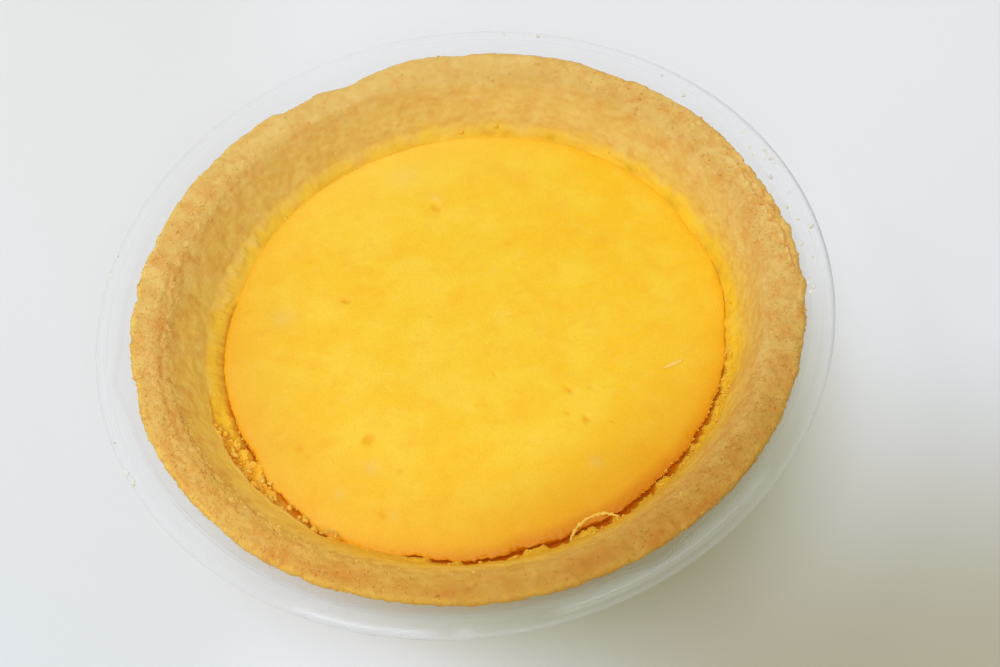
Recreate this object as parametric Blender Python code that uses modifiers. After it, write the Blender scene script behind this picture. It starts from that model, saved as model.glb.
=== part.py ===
"""Cheese tart in its clear plastic tray, at real size.

Metres, +Z up. The tray stands on the XY plane with its middle at the origin, and -Y is the near side.
A pressed shortcrust shell flares from a narrow base to a wide, flat rim. Cheese filling was baked in it,
so it fills the hollow up to some 6 mm below the rim, domes a little and rounds down to the crust. On
the near and right sides it shrank away and left an open crack. The tart sits loose in a thin thermoformed
tray with a stepped flange and three small lugs under it.
"""

import math

import bpy
import numpy as np
from mathutils import Vector, noise

MM = 0.001

# Crust
RIM_RADIUS = 37.5 * MM
RIM_WIDTH = 4.0 * MM
RIM_CROWN = 0.75 * MM
RIM_SQUARENESS = 0.62  # 1 makes the rim's top a half oval, and less makes it flatter
CRUST_HEIGHT = 18.0 * MM
FLOOR_THICKNESS = 3.3 * MM
FLARE = 0.76  # how far the wall leans out for each unit of height
CORNER_RADIUS = 1.6 * MM  # where a wall meets its base
CRUST_STEPS = 144

# Relief of the crust: the width of a lump and how far it stands out
CRAG_SIZE, CRAG_DEPTH = 2.6 * MM, 0.26 * MM
LUMP_SIZE, LUMP_DEPTH = 7.0 * MM, 0.12 * MM
RIM_WAVE_SIZE, RIM_WAVE_HEIGHT = 16.0 * MM, 0.14 * MM
OUTSIDE_SHARE = 0.4  # the outer wall was pressed against its mould, so it is smoother

# Filling
FILLING_DEPTH = 6.3 * MM  # from the top of the rim down to the filling's edge
EDGE_ROUNDING = 1.1 * MM
DOME = 0.45 * MM
CRACK_WIDTH = 0.75 * MM
CRACK_DEPTH = 2.6 * MM
CRACK_TOOTH = 3.2 * MM  # width of the jagged teeth along the crack
TOP_WAVE_SIZE, TOP_WAVE_HEIGHT = 13.0 * MM, 0.16 * MM
FILLING_STEPS = 96

# Tray
SHEET = 0.4 * MM
LIP_RADIUS = 41.1 * MM
STEP_RADIUS = 40.05 * MM
STEP_DROP = 0.4 * MM
MOUTH_RADIUS = 38.2 * MM
NECK_DEPTH = 1.3 * MM  # the upright stretch under the flange, above the flared wall
TRAY_BASE_RADIUS = 26.0 * MM
FLANGE_ABOVE_RIM = 0.1 * MM
LUG_AZIMUTHS = (-175.0, -65.0, 60.0)
LUG_HALF_WIDTH = 7.5
LUG_DEPTH = 0.8 * MM
TRAY_STEPS = 72

GAP = 0.3 * MM  # air between the loose pieces
TART_OFFSET = 0.5 * MM  # the tart lies this far to the right of the tray's middle

# Heights that follow from the sizes above
CRUST_BASE_Z = SHEET + GAP
RIM_Z = CRUST_BASE_Z + CRUST_HEIGHT
RIM_EDGE_Z = RIM_Z - RIM_CROWN
FILLING_EDGE_Z = RIM_Z - FILLING_DEPTH
FLANGE_Z = RIM_Z + FLANGE_ABOVE_RIM

# Places where the rim is broken back: azimuth, half width in degrees, depth
CHIPS = (
    (109.0, 17.0, 0.75 * MM),
    (16.0, 15.0, 0.20 * MM),
    (-109.0, 13.0, 0.15 * MM),
    (55.0, 8.0, 0.20 * MM),
    (-172.0, 5.0, 0.25 * MM),
)
# The stretch of the filling's edge where the crack is open, as azimuths
CRACK_FROM, CRACK_TO, CRACK_FADE = -112.0, 4.0, 12.0

CRUST_COLOUR = (0.66, 0.39, 0.13, 1.0)
FILLING_COLOUR = (0.93, 0.55, 0.045, 1.0)
TRAY_COLOUR = (0.92, 0.94, 0.94, 1.0)


def clear_scene():
    for existing in list(bpy.data.objects):
        bpy.data.objects.remove(existing, do_unlink=True)


def make_material(name, colour, roughness, transmission=0.0):
    material = bpy.data.materials.new(name)
    material.use_nodes = True
    shader = material.node_tree.nodes["Principled BSDF"]
    shader.inputs["Base Color"].default_value = colour
    shader.inputs["Roughness"].default_value = roughness
    shader.inputs["Transmission Weight"].default_value = transmission
    return material


def stretch(start, end, steps):
    """Evenly spaced points from start, which is included, to end, which is not."""
    return [tuple(a + (b - a) * i / steps for a, b in zip(start, end)) for i in range(steps)]


def arc(centre, radius, first_degrees, last_degrees, steps):
    """Points on an arc of the profile, both ends included."""
    turns = np.radians(np.linspace(first_degrees, last_degrees, steps + 1))
    return [(centre[0] + radius * math.cos(t), centre[1] + radius * math.sin(t)) for t in turns]


def foot_arc(foot_radius, base_z, flare):
    """The rounded corner where a wall that leans out by flare meets a base, from the wall to the base."""
    lean = math.degrees(math.atan(flare))
    centre_radius = foot_radius - CORNER_RADIUS / math.tan(math.radians(45.0 + lean / 2))
    return arc((centre_radius, base_z + CORNER_RADIUS), CORNER_RADIUS, -lean, -90.0, 2)


def turned(name, profile, steps, material, collection):
    """A profile of (radius, height) points turned once round the Z axis."""
    mesh = bpy.data.meshes.new(name)
    points = [(radius, 0.0, height) for radius, height in profile]
    mesh.from_pydata(points, [(i, i + 1) for i in range(len(points) - 1)], [])
    piece = bpy.data.objects.new(name, mesh)
    collection.objects.link(piece)
    screw = piece.modifiers.new("Turn", "SCREW")
    screw.steps = screw.render_steps = steps
    screw.use_merge_vertices = True
    screw.merge_threshold = 0.01 * MM
    graph = bpy.context.evaluated_depsgraph_get()
    blank = bpy.data.meshes.new_from_object(piece.evaluated_get(graph))
    piece.modifiers.clear()
    piece.data = blank
    blank.name = name
    blank.materials.clear()
    blank.materials.append(material)
    return piece


def reshape(piece, move):
    """Moves each vertex: move takes radius, azimuth in degrees and height, and gives radius and height."""
    mesh = piece.data
    points = np.empty(len(mesh.vertices) * 3)
    mesh.vertices.foreach_get("co", points)
    points = points.reshape(-1, 3)
    radius = np.hypot(points[:, 0], points[:, 1])
    azimuth = np.arctan2(points[:, 1], points[:, 0])
    new_radius, new_height = move(radius, np.degrees(azimuth), points[:, 2])
    points[:, 0] = new_radius * np.cos(azimuth)
    points[:, 1] = new_radius * np.sin(azimuth)
    points[:, 2] = new_height
    mesh.vertices.foreach_set("co", points.ravel())
    mesh.update()


def around(azimuth, centre):
    """Azimuth counted from centre, from -180 to 180 degrees."""
    return (azimuth - centre + 180.0) % 360.0 - 180.0


def ease(x):
    """0 below 0, 1 above 1 and a smooth rise between."""
    x = np.clip(x, 0.0, 1.0)
    return x * x * (3.0 - 2.0 * x)


def hump(azimuth, centre, half_width):
    """1 at centre, falling smoothly to 0 at half_width to either side."""
    return ease(1.0 - np.abs(around(azimuth, centre)) / half_width)


def crumb(radius, azimuth, height, size, seed):
    """Noise between about -1 and 1, with lumps of the given size."""
    turn = np.radians(azimuth)
    x, y, z = radius * np.cos(turn) / size, radius * np.sin(turn) / size, height / size
    return np.array([noise.noise(Vector((a + seed, b, c))) for a, b, c in zip(x, y, z)])


def rim_outline(azimuth):
    """How far the rim's edge lies out of round at each azimuth."""
    turn = np.radians(azimuth)
    out = 0.2 * MM * np.cos(turn - math.radians(165.0))
    out = out + 0.2 * MM * np.cos(2.0 * (turn - math.radians(140.0)))
    for centre, half_width, depth in CHIPS:
        out = out - depth * hump(azimuth, centre, half_width)
    return out


def inner_wall_radius(height):
    return RIM_RADIUS - RIM_WIDTH - FLARE * (RIM_EDGE_Z - height)


def outer_wall_radius(height):
    return RIM_RADIUS - FLARE * (RIM_EDGE_Z - height)


def filling_side_radius(height):
    """The filling's side follows the inner wall, a gap's width away from it."""
    return inner_wall_radius(height) - GAP * math.hypot(1.0, FLARE)


def crust_profile():
    """From the middle of the hollow's floor up the inner wall, over the rim and down to the base."""
    floor_z = CRUST_BASE_Z + FLOOR_THICKNESS
    inner_foot = (inner_wall_radius(floor_z), floor_z)
    filling_line = (inner_wall_radius(FILLING_EDGE_Z), FILLING_EDGE_Z)
    rim_inside = (RIM_RADIUS - RIM_WIDTH, RIM_EDGE_Z)
    points = [(0.0, floor_z)]
    points += stretch(inner_foot, filling_line, 2)
    points += stretch(filling_line, rim_inside, 6)
    middle = RIM_RADIUS - RIM_WIDTH / 2
    for t in np.linspace(math.pi, 0.0, 9):
        across = math.copysign(abs(math.cos(t)) ** RIM_SQUARENESS, math.cos(t))
        up = abs(math.sin(t)) ** RIM_SQUARENESS
        points.append((middle + RIM_WIDTH / 2 * across, RIM_EDGE_Z + RIM_CROWN * up))
    foot = foot_arc(outer_wall_radius(CRUST_BASE_Z), CRUST_BASE_Z, FLARE)
    points += stretch((RIM_RADIUS, RIM_EDGE_Z), foot[0], 5)[1:]
    points += foot
    points.append((0.0, CRUST_BASE_Z))
    return points


def make_crust(material, collection):
    crust = turned("crust", crust_profile(), CRUST_STEPS, material, collection)

    def bake(radius, azimuth, height):
        """The rim's uneven outline and crumbly relief, fading out at the filling's edge and at the base."""
        across = (radius - inner_wall_radius(height)) / RIM_WIDTH
        above_filling = ease((height - FILLING_EDGE_Z) / (3.0 * MM))
        above_base = ease((height - CRUST_BASE_Z) / (6.0 * MM))
        on_top = ease((height - RIM_EDGE_Z) / (0.5 * MM))
        crags = CRAG_DEPTH * crumb(radius, azimuth, height, CRAG_SIZE, 11.0)
        lumps = LUMP_DEPTH * crumb(radius, azimuth, height, LUMP_SIZE, 23.0)
        waves = RIM_WAVE_HEIGHT * crumb(RIM_RADIUS, azimuth, 0.0 * height, RIM_WAVE_SIZE, 5.0)
        relief = (crags + lumps) * np.where(across < 0.5, above_filling, OUTSIDE_SHARE * above_base)
        outline = rim_outline(azimuth) * ease(across) * above_base
        chipped = sum(0.4 * cut * hump(azimuth, centre, width) for centre, width, cut in CHIPS)
        return radius + outline + relief, height + on_top * (crags + waves - chipped)

    reshape(crust, bake)
    return crust


def filling_profile():
    """From the middle of the top out to the edge, down the side and back along the underside."""
    points = []
    edge_radius = filling_side_radius(FILLING_EDGE_Z)
    for out in np.sin(np.linspace(0.0, math.pi / 2, 9)):
        height = FILLING_EDGE_Z + EDGE_ROUNDING * math.sqrt(1.0 - out**10) + DOME * (1.0 - out**2)
        points.append((edge_radius * out, height))
    underside_z = CRUST_BASE_Z + FLOOR_THICKNESS + GAP
    for height in (FILLING_EDGE_Z - CRACK_DEPTH / 2, FILLING_EDGE_Z - CRACK_DEPTH, underside_z):
        points.append((filling_side_radius(height), height))
    points.append((0.0, underside_z))
    return points


def make_filling(material, collection):
    filling = turned("filling", filling_profile(), FILLING_STEPS, material, collection)

    def shrink(radius, azimuth, height):
        """The crack along the near and right sides, and the slow waves of the baked top."""
        middle = (CRACK_FROM + CRACK_TO) / 2
        half = (CRACK_TO - CRACK_FROM) / 2
        open_here = ease((half - np.abs(around(azimuth, middle))) / CRACK_FADE)
        near_top = ease((height - (FILLING_EDGE_Z - CRACK_DEPTH)) / CRACK_DEPTH)
        at_edge = ease((radius / filling_side_radius(FILLING_EDGE_Z) - 0.8) / 0.2)
        jagged = 0.75 + 0.5 * crumb(radius, azimuth, height, CRACK_TOOTH, 41.0)
        cut = CRACK_WIDTH * open_here * near_top * at_edge * jagged
        on_top = ease((height - FILLING_EDGE_Z) / EDGE_ROUNDING)
        waves = TOP_WAVE_HEIGHT * crumb(radius, azimuth, height, TOP_WAVE_SIZE, 57.0)
        return radius - cut, height + on_top * waves

    reshape(filling, shrink)
    return filling


def tray_profile():
    """The tray's upper surface, from the cut edge of the flange in and down to the middle of the base."""
    corner = 0.5 * MM
    step = 0.2 * MM
    neck_z = FLANGE_Z - NECK_DEPTH
    flare = (MOUTH_RADIUS - TRAY_BASE_RADIUS) / (neck_z - SHEET)
    points = [(LIP_RADIUS, FLANGE_Z - STEP_DROP), (STEP_RADIUS + step, FLANGE_Z - STEP_DROP)]
    points.append((STEP_RADIUS, FLANGE_Z))
    points += arc((MOUTH_RADIUS + corner, FLANGE_Z - corner), corner, 90.0, 180.0, 2)
    points.append((MOUTH_RADIUS, neck_z))
    points += foot_arc(TRAY_BASE_RADIUS, SHEET, flare)
    points.append((0.0, SHEET))
    return points


def make_tray(material, collection):
    tray = turned("tray", tray_profile(), TRAY_STEPS, material, collection)

    def press_lugs(radius, azimuth, height):
        """Three lugs pressed outward in the upright neck, which keep stacked trays apart."""
        on_neck = (radius < STEP_RADIUS) & (height < FLANGE_Z) & (height > FLANGE_Z - 2.0 * NECK_DEPTH)
        out = sum(hump(azimuth, centre, LUG_HALF_WIDTH) for centre in LUG_AZIMUTHS)
        return radius + LUG_DEPTH * out * on_neck, height

    reshape(tray, press_lugs)
    sheet = tray.modifiers.new("Sheet thickness", "SOLIDIFY")
    sheet.thickness = SHEET
    sheet.offset = 1.0
    sheet.use_even_offset = True
    return tray


def main():
    clear_scene()
    collection = bpy.data.collections.new("cheese_tart")
    bpy.context.scene.collection.children.link(collection)
    tart_place = bpy.data.objects.new("tart_place", None)
    collection.objects.link(tart_place)
    tart_place.location.x = TART_OFFSET

    crust = make_crust(make_material("baked_crust", CRUST_COLOUR, 0.85), collection)
    filling = make_filling(make_material("cheese_filling", FILLING_COLOUR, 0.45), collection)
    make_tray(make_material("clear_plastic", TRAY_COLOUR, 0.08, transmission=0.95), collection)
    for piece in (crust, filling):
        piece.parent = tart_place
    for piece in collection.objects:
        if piece.type == "MESH":
            piece.data.shade_smooth()
            piece.data.set_sharp_from_angle(angle=math.radians(40.0))


main()
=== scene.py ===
# %% [markdown]
# # A baked cheese tart in its clear tray
#
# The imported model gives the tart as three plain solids: a crust, a filling and a tray. This script keeps
# their sizes and gives them what the eye looks for: crumbs, flakes, the crack where the filling shrank
# away, and the glints of thin clear plastic. Each new piece is a surface worked out with numpy and laid on
# the solid that it stands for.

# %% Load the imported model
import itertools
import math
from types import SimpleNamespace
import bpy
import numpy as np
from mathutils import Matrix, Vector


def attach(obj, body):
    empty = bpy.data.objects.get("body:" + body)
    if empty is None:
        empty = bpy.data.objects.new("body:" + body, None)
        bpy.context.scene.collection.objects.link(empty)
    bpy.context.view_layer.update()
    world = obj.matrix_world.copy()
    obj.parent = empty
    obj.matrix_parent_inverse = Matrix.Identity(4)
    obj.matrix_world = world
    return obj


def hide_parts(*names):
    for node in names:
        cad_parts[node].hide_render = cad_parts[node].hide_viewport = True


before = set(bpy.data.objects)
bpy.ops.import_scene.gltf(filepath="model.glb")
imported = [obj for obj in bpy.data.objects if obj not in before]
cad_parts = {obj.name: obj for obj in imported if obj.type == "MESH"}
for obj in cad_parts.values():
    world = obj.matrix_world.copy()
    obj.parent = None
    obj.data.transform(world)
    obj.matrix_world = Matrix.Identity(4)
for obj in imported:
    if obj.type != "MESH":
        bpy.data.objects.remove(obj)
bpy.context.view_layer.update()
MM = 0.001


# %% [markdown]
# The sizes below are the tart's driving dimensions, in metres. They could be measured off the solids, but a
# crumbly rim has no exact edge to measure, so the plain figures are stated once.

# %% Driving dimensions
RIM_RADIUS = 37.5 * MM
RIM_WIDTH = 4.0 * MM
RIM_CROWN = 0.75 * MM
RIM_SQUARENESS = 0.62
FLOOR_THICKNESS = 3.3 * MM
FLARE = 0.76  # how far the wall leans out for each unit of height
CORNER_RADIUS = 1.6 * MM
FILLING_DEPTH = 6.3 * MM
EDGE_ROUNDING = 1.1 * MM
DOME = 0.45 * MM
CRACK_DEPTH = 1.2 * MM
SHEET = 0.4 * MM
LIP_RADIUS = 41.1 * MM
STEP_RADIUS = 40.05 * MM
STEP_DROP = 0.4 * MM
MOUTH_RADIUS = 38.2 * MM
NECK_DEPTH = 1.3 * MM
TRAY_BASE_RADIUS = 26.0 * MM
CRUST_BASE_Z = 0.7 * MM
RIM_Z = 18.7 * MM
FLANGE_Z = 18.8 * MM
TART_X = 0.5 * MM  # the tart lies this far to the right of the tray's middle

RIM_EDGE_Z = RIM_Z - RIM_CROWN
FILLING_EDGE_Z = RIM_Z - FILLING_DEPTH
WALL_AT_FILLING = RIM_RADIUS - RIM_WIDTH - FLARE * (RIM_EDGE_Z - FILLING_EDGE_Z)

# %% [markdown]
# ## Camera
#
# The viewing angle came from fitting three circles of the tart to the ellipses they make in the picture. A
# camera is easiest to place by the direction it looks back along: from the rim's middle, go back by the
# distance, then slide sideways until the rim's middle falls on the right pixel.

# %% Camera
IMAGE_WIDTH = 1000
SENSOR_WIDTH = 36.0
FOCAL_PIXELS = 2000.0
ELEVATION = math.radians(54.76)
ROLL = math.radians(-8.69)
DISTANCE = 222.7 * MM
RIM_MIDDLE = Vector((TART_X, 0.0, RIM_EDGE_Z + 0.2 * MM))
RIM_MIDDLE_PIXELS = (-34.5, -29.7)  # where it shows, right and down from the picture's middle


def add_camera():
    back = Vector((0.0, -math.cos(ELEVATION), math.sin(ELEVATION)))
    level = Vector((1.0, 0.0, 0.0))
    upward = back.cross(level)
    right = level * math.cos(ROLL) + upward * math.sin(ROLL)
    up = upward * math.cos(ROLL) - level * math.sin(ROLL)
    pixel = DISTANCE / FOCAL_PIXELS
    place = RIM_MIDDLE + back * DISTANCE
    place += -right * RIM_MIDDLE_PIXELS[0] * pixel + up * RIM_MIDDLE_PIXELS[1] * pixel
    data = bpy.data.cameras.new("camera")
    data.sensor_width = SENSOR_WIDTH
    data.lens = SENSOR_WIDTH * FOCAL_PIXELS / IMAGE_WIDTH
    data.clip_start = 0.005
    camera = bpy.data.objects.new("camera", data)
    axes = Matrix((right, up, back)).transposed().to_4x4()
    camera.matrix_world = Matrix.Translation(place) @ axes
    bpy.context.scene.collection.objects.link(camera)
    bpy.context.scene.camera = camera


add_camera()

# %% [markdown]
# ## Table and light
#
# The tart stands on a plain white table between two wide lights, a cool one at the far left and one behind
# the camera, in a room that adds a little warm light from all around. The near right of the table lies in
# shade. A screen that throws such a shade would also darken the tart, so the shade is painted into the
# table's own colour, as are a painted shadow under the tart and weaker painted light and shade beside the
# tart, at the left and from near to far. The table also glows a little, which softens the tart's shadow as an
# overexposed photo does.

# %% Node helpers
def node(tree, kind, inputs=None, **settings):
    """Adds a shader node. inputs holds numbers, colours or the sockets of other nodes, by socket name."""
    made = tree.nodes.new("ShaderNode" + kind)
    for name, value in settings.items():
        setattr(made, name, value)
    for name, value in (inputs or {}).items():
        if isinstance(value, bpy.types.NodeSocket):
            tree.links.new(value, made.inputs[name])
        else:
            made.inputs[name].default_value = value
    return made


def mixed(tree, factor, first, second, blend="MIX"):
    """A colour between first and second, each a colour or a socket."""
    made = node(tree, "Mix", data_type="RGBA", blend_type=blend, clamp_factor=True)
    for socket, value in zip((made.inputs[0], made.inputs[6], made.inputs[7]), (factor, first, second)):
        if isinstance(value, bpy.types.NodeSocket):
            tree.links.new(value, socket)
        else:
            socket.default_value = (*value, 1.0) if isinstance(value, tuple) else value
    return made.outputs[2]


def sums(tree, operation, first, second, third=None, clamp=False):
    """The result of a Math node on numbers or sockets."""
    made = node(tree, "Math", operation=operation, use_clamp=clamp)
    for socket, value in zip(made.inputs, (first, second, third)):
        if isinstance(value, bpy.types.NodeSocket):
            tree.links.new(value, socket)
        elif value is not None:
            socket.default_value = value
    return made.outputs[0]


def rising(tree, value, start, full):
    """0 where the value is at start or before it, 1 from full on, and a smooth rise between."""
    span = {"Value": value, "From Min": start, "From Max": full}
    return node(tree, "MapRange", span, interpolation_type="SMOOTHSTEP").outputs[0]


def glow(tree, colour):
    """Gives the material this emission colour, at full strength."""
    shader = tree.nodes["Principled BSDF"]
    tree.links.new(colour, shader.inputs["Emission Color"])
    shader.inputs["Emission Strength"].default_value = 1.0


# %% Material, sheet and lamp helpers
def plain_material(name, colour, roughness):
    """A material of one colour and roughness, for more nodes to be added to."""
    material = bpy.data.materials.new(name)
    material.use_nodes = True
    shader = material.node_tree.nodes["Principled BSDF"]
    shader.inputs["Base Color"].default_value = (*colour, 1.0)
    shader.inputs["Roughness"].default_value = roughness
    return material


def flat_sheet(name, half, material):
    """A level square on the ground, twice half wide, as part of the stage."""
    mesh = bpy.data.meshes.new(name)
    corners = [(-half, -half, 0), (half, -half, 0), (half, half, 0), (-half, half, 0)]
    mesh.from_pydata(corners, [], [(0, 1, 2, 3)])
    mesh.materials.append(material)
    sheet = bpy.data.objects.new(name, mesh)
    bpy.context.scene.collection.objects.link(sheet)


def soft_light(name, azimuth, elevation, colour, power):
    """A round lamp that faces the tart, at this azimuth and elevation in degrees."""
    turn, rise = math.radians(azimuth), math.radians(elevation)
    toward = Vector((math.cos(turn) * math.cos(rise), math.sin(turn) * math.cos(rise), math.sin(rise)))
    lamp = bpy.data.lights.new(name, "AREA")
    lamp.shape = "DISK"
    lamp.size = LAMP_WIDTH
    lamp.color = colour
    lamp.energy = power
    holder = bpy.data.objects.new(name, lamp)
    facing = toward.to_track_quat("Z", "Y").to_matrix().to_4x4()
    holder.matrix_world = Matrix.Translation(toward * LAMP_DISTANCE) @ facing
    bpy.context.scene.collection.objects.link(holder)


# %% Table material
TABLE_WHITE = (0.565, 0.56, 0.55)
TABLE_SHADE = (0.585, 0.52, 0.358)  # share of the white that is left in full shade
TABLE_GLOW = (0.235, 0.235, 0.225)
SHADE_FROM_LEFT = (-11.5 * MM, 27.0 * MM)  # where the shade starts and is full, along X and along Y
SHADE_FROM_FAR = (2.0 * MM, -44.0 * MM)
# Painted shadow under the tart, as the share of the white that is left
TABLE_UNDER_SHADOW = (0.63, 0.63, 0.455)  # share that is left under the tart, seen through the near side of the tray
UNDER_MIDDLE = (8.0 * MM, -4.0 * MM, 0.0)
UNDER_RADII = (37.0 * MM, 23.0 * MM)
TABLE_BESIDE = (1.115, 1.13, 1.165)  # the tart's own shadow, made weaker and cooler at the near right
BESIDE_RADII = (56.0 * MM, 44.0 * MM)
BESIDE_TOWARD = (0.64, -0.77, 0.0)
BESIDE_REACH = (-5.0 * MM, 20.0 * MM)
# Weak painted light and shade: darker at the left, and changing in brightness and colour from near to far
TABLE_LEFT_SHADE = (0.946, 0.942, 0.919)  # these three are weak tints, each of one side of the table
LEFT_REACH = (-10.0 * MM, -35.0 * MM)
TABLE_NEAR_LIGHT, TABLE_FAR_LIGHT = (0.918, 0.985, 1.045), (1.042, 1.062, 1.064)
NEAR_TO_FAR = (-70.0 * MM, 70.0 * MM)


def table_material():
    """White, times each painted shade, shadow and light where its share of the place is 1."""
    material = plain_material("table", TABLE_WHITE, 0.55)
    tree = material.node_tree
    spot = node(tree, "TexCoord").outputs["Object"]
    x, y, _ = node(tree, "SeparateXYZ", {"Vector": spot}).outputs
    measured = lambda kind, to: node(tree, "VectorMath", {0: spot, 1: to}, operation=kind).outputs["Value"]
    both = lambda first, second: sums(tree, "MULTIPLY", first, second)
    near_tart = rising(tree, measured("DISTANCE", (0.0, 0.0, 0.0)), *BESIDE_RADII)
    beside = both(near_tart, rising(tree, measured("DOT_PRODUCT", BESIDE_TOWARD), *BESIDE_REACH))
    shade = (1.0, 1.0, 1.0)
    for share, tint in (
        (both(rising(tree, x, *SHADE_FROM_LEFT), rising(tree, y, *SHADE_FROM_FAR)), TABLE_SHADE),
        (rising(tree, measured("DISTANCE", UNDER_MIDDLE), *UNDER_RADII), TABLE_UNDER_SHADOW),
        (beside, TABLE_BESIDE),
        (rising(tree, x, *LEFT_REACH), TABLE_LEFT_SHADE),
        (rising(tree, y, *NEAR_TO_FAR[::-1]), TABLE_NEAR_LIGHT),
        (rising(tree, y, *NEAR_TO_FAR), TABLE_FAR_LIGHT),
    ):
        shade = mixed(tree, share, shade, tint, "MULTIPLY")
    white = mixed(tree, 1.0, shade, TABLE_WHITE, "MULTIPLY")
    tree.links.new(white, tree.nodes["Principled BSDF"].inputs["Base Color"])
    glow(tree, mixed(tree, 1.0, shade, TABLE_GLOW, "MULTIPLY"))
    return material


# %% Table, lamps and room
TABLE_HALF = 1.5
LAMP_DISTANCE = 0.9
LAMP_WIDTH = 0.70
# Azimuth and elevation (degrees), colour and power (W)
LAMPS = {
    "window_light": (150.0, 55.0, (0.70, 0.776, 1.0), 4.6),
    "room_light": (270.0, 55.0, (0.89, 0.971, 1.0), 4.6),
}
ROOM_COLOUR = (1.0, 0.84, 0.70, 1.0)
ROOM_STRENGTH = 0.34


def add_stage():
    flat_sheet("table", TABLE_HALF, table_material())
    for name, (azimuth, elevation, colour, power) in LAMPS.items():
        soft_light(name, azimuth, elevation, colour, power)
    world = bpy.data.worlds.new("room")
    world.use_nodes = True
    background = world.node_tree.nodes["Background"]
    background.inputs["Color"].default_value = ROOM_COLOUR
    background.inputs["Strength"].default_value = ROOM_STRENGTH
    bpy.context.scene.world = world
    bpy.context.scene.view_settings.view_transform = "Standard"


add_stage()

# %% [markdown]
# ## Roughness from random numbers
#
# Pastry is rough at every scale, so its relief is noise. Blender has noise in mathutils, but only for one
# point at a time. The same noise is a few lines of numpy, and works on a whole surface at once: random
# slopes on a lattice for smooth lumps, and the distance to scattered centres for crumbs.

# %% Noise
def scrambled(corner, seed):
    """Numbers from 0 to 1 for whole-number lattice corners: each coordinate is multiplied by a large odd
    number, the products are exclusive-ored together with the seed's, and the bits are folded over."""
    bits = np.full(corner.shape[:-1], (seed * 2654435761) & 0xFFFFFFFF, np.uint32)
    for axis, odd in enumerate((374761393, 668265263, 2246822519)):
        bits = bits ^ (corner[..., axis].astype(np.uint32) * np.uint32(odd))
        bits = (bits ^ (bits >> np.uint32(13))) * np.uint32(1274126177)
    return (bits ^ (bits >> np.uint32(16))) / 4294967295.0


def lumps(points, size, seed):
    """Smooth noise, about -1 to 1, with lumps of this size: every corner of a cubic lattice has a random
    slope, and the eight slopes round a point are blended by 6t^5 - 15t^4 + 10t^3 along each axis."""
    place = points / size
    corner = np.floor(place).astype(np.int64)
    inside = place - corner
    blend = inside**3 * (inside * (inside * 6.0 - 15.0) + 10.0)
    total = np.zeros(points.shape[:-1])
    for step in itertools.product((0, 1), repeat=3):
        slopes = np.stack([scrambled(corner + step, seed * 3 + k) for k in range(3)], -1) * 2.0 - 1.0
        weight = np.where(step, blend, 1.0 - blend).prod(-1)
        total += weight * (slopes * (inside - step)).sum(-1)
    return total * 1.7


def rough(points, size, seed, layers=4):
    """Layers of lumps, each half the size and a bit over half the height of the one before."""
    return sum(lumps(points, size / 2**k, seed + k) * 0.55**k for k in range(layers)) / 1.5


def crumbs(points, size, seed):
    """Round bumps packed side by side: (1 - the squared distance to the nearest of random centres, one in
    each cube of a lattice), and that centre's own random number, by which crumbs can differ."""
    place = points / size
    corner = np.floor(place).astype(np.int64)
    nearest = np.full(points.shape[:-1], 9.0)
    number = np.zeros(points.shape[:-1])
    for step in itertools.product((-1, 0, 1), repeat=3):
        cube = corner + step
        centre = cube + np.stack([scrambled(cube, seed * 5 + k) for k in range(3)], -1)
        distance = ((centre - place) ** 2).sum(-1)
        closer = distance < nearest
        nearest = np.where(closer, distance, nearest)
        number = np.where(closer, scrambled(cube, seed * 5 + 3), number)
    return 1.0 - nearest, number


def ease(x):
    """0 below 0, 1 above 1 and a smooth rise between."""
    x = np.clip(x, 0.0, 1.0)
    return x * x * (3.0 - 2.0 * x)


def around(azimuth, centre):
    """Degrees from centre to azimuth, from -180 to 180."""
    return (azimuth - centre + 180.0) % 360.0 - 180.0


def azimuth_window(azimuth, start, stop):
    """Degrees inside the stretch from start to stop, negative outside it."""
    return (stop - start) / 2.0 - np.abs(around(azimuth, (start + stop) / 2.0))


def hump(azimuth, centre, half_width):
    """1 at centre, falling smoothly to 0 at half_width degrees to either side."""
    return ease(1.0 - np.abs(around(azimuth, centre)) / half_width)


def bell(x):
    """1 at 0, falling off to both sides as exp(-x^2)."""
    return np.exp(-(x**2))


test = lumps(np.random.default_rng(1).uniform(0, 50, (20000, 3)), 1.0, 3)
print("noise runs from", test.min().round(2), "to", test.max().round(2))

# %% [markdown]
# ## Surfaces on a grid
#
# Every part of the tart is round, so each surface is a profile carried round the axis. The grid's rows
# follow the profile from one pole to the other, and its columns go once round. A Screw modifier would turn
# the same profile, but here each point is still to be moved by its own amount of relief.

# %% Surfaces on a grid
def evenly(points, spacing):
    """The polyline through the points, cut again into equal steps of about this spacing."""
    points = np.asarray(points, float)
    walked = np.concatenate([[0.0], np.cumsum(np.hypot(*np.diff(points, axis=0).T))])
    count = max(1, round(walked[-1] / spacing))
    at = np.linspace(0.0, walked[-1], count + 1)
    return np.stack([np.interp(at, walked, points[:, 0]), np.interp(at, walked, points[:, 1])], -1)


def joined(*stretches):
    """Stretches of a profile end to end. Each starts where the one before stopped."""
    return np.concatenate([stretches[0]] + [s[1:] for s in stretches[1:]])


def all_round(count):
    """This many azimuths once round (degrees)."""
    return np.linspace(-180.0, 180.0, count, endpoint=False)


def carried_round(profile, columns):
    """The azimuths of a grid's columns, and the radius and the height of each of its points."""
    azimuth = all_round(columns)[None, :]
    return azimuth, profile[:, :1] + 0.0 * azimuth, profile[:, 1:] + 0.0 * azimuth


def outward(profile):
    """Unit normals of a profile of (radius, height) points: its direction turned a quarter to the left."""
    along = np.gradient(profile, axis=0)
    along /= np.linalg.norm(along, axis=1, keepdims=True)
    return np.stack([-along[:, 1], along[:, 0]], -1)


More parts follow.
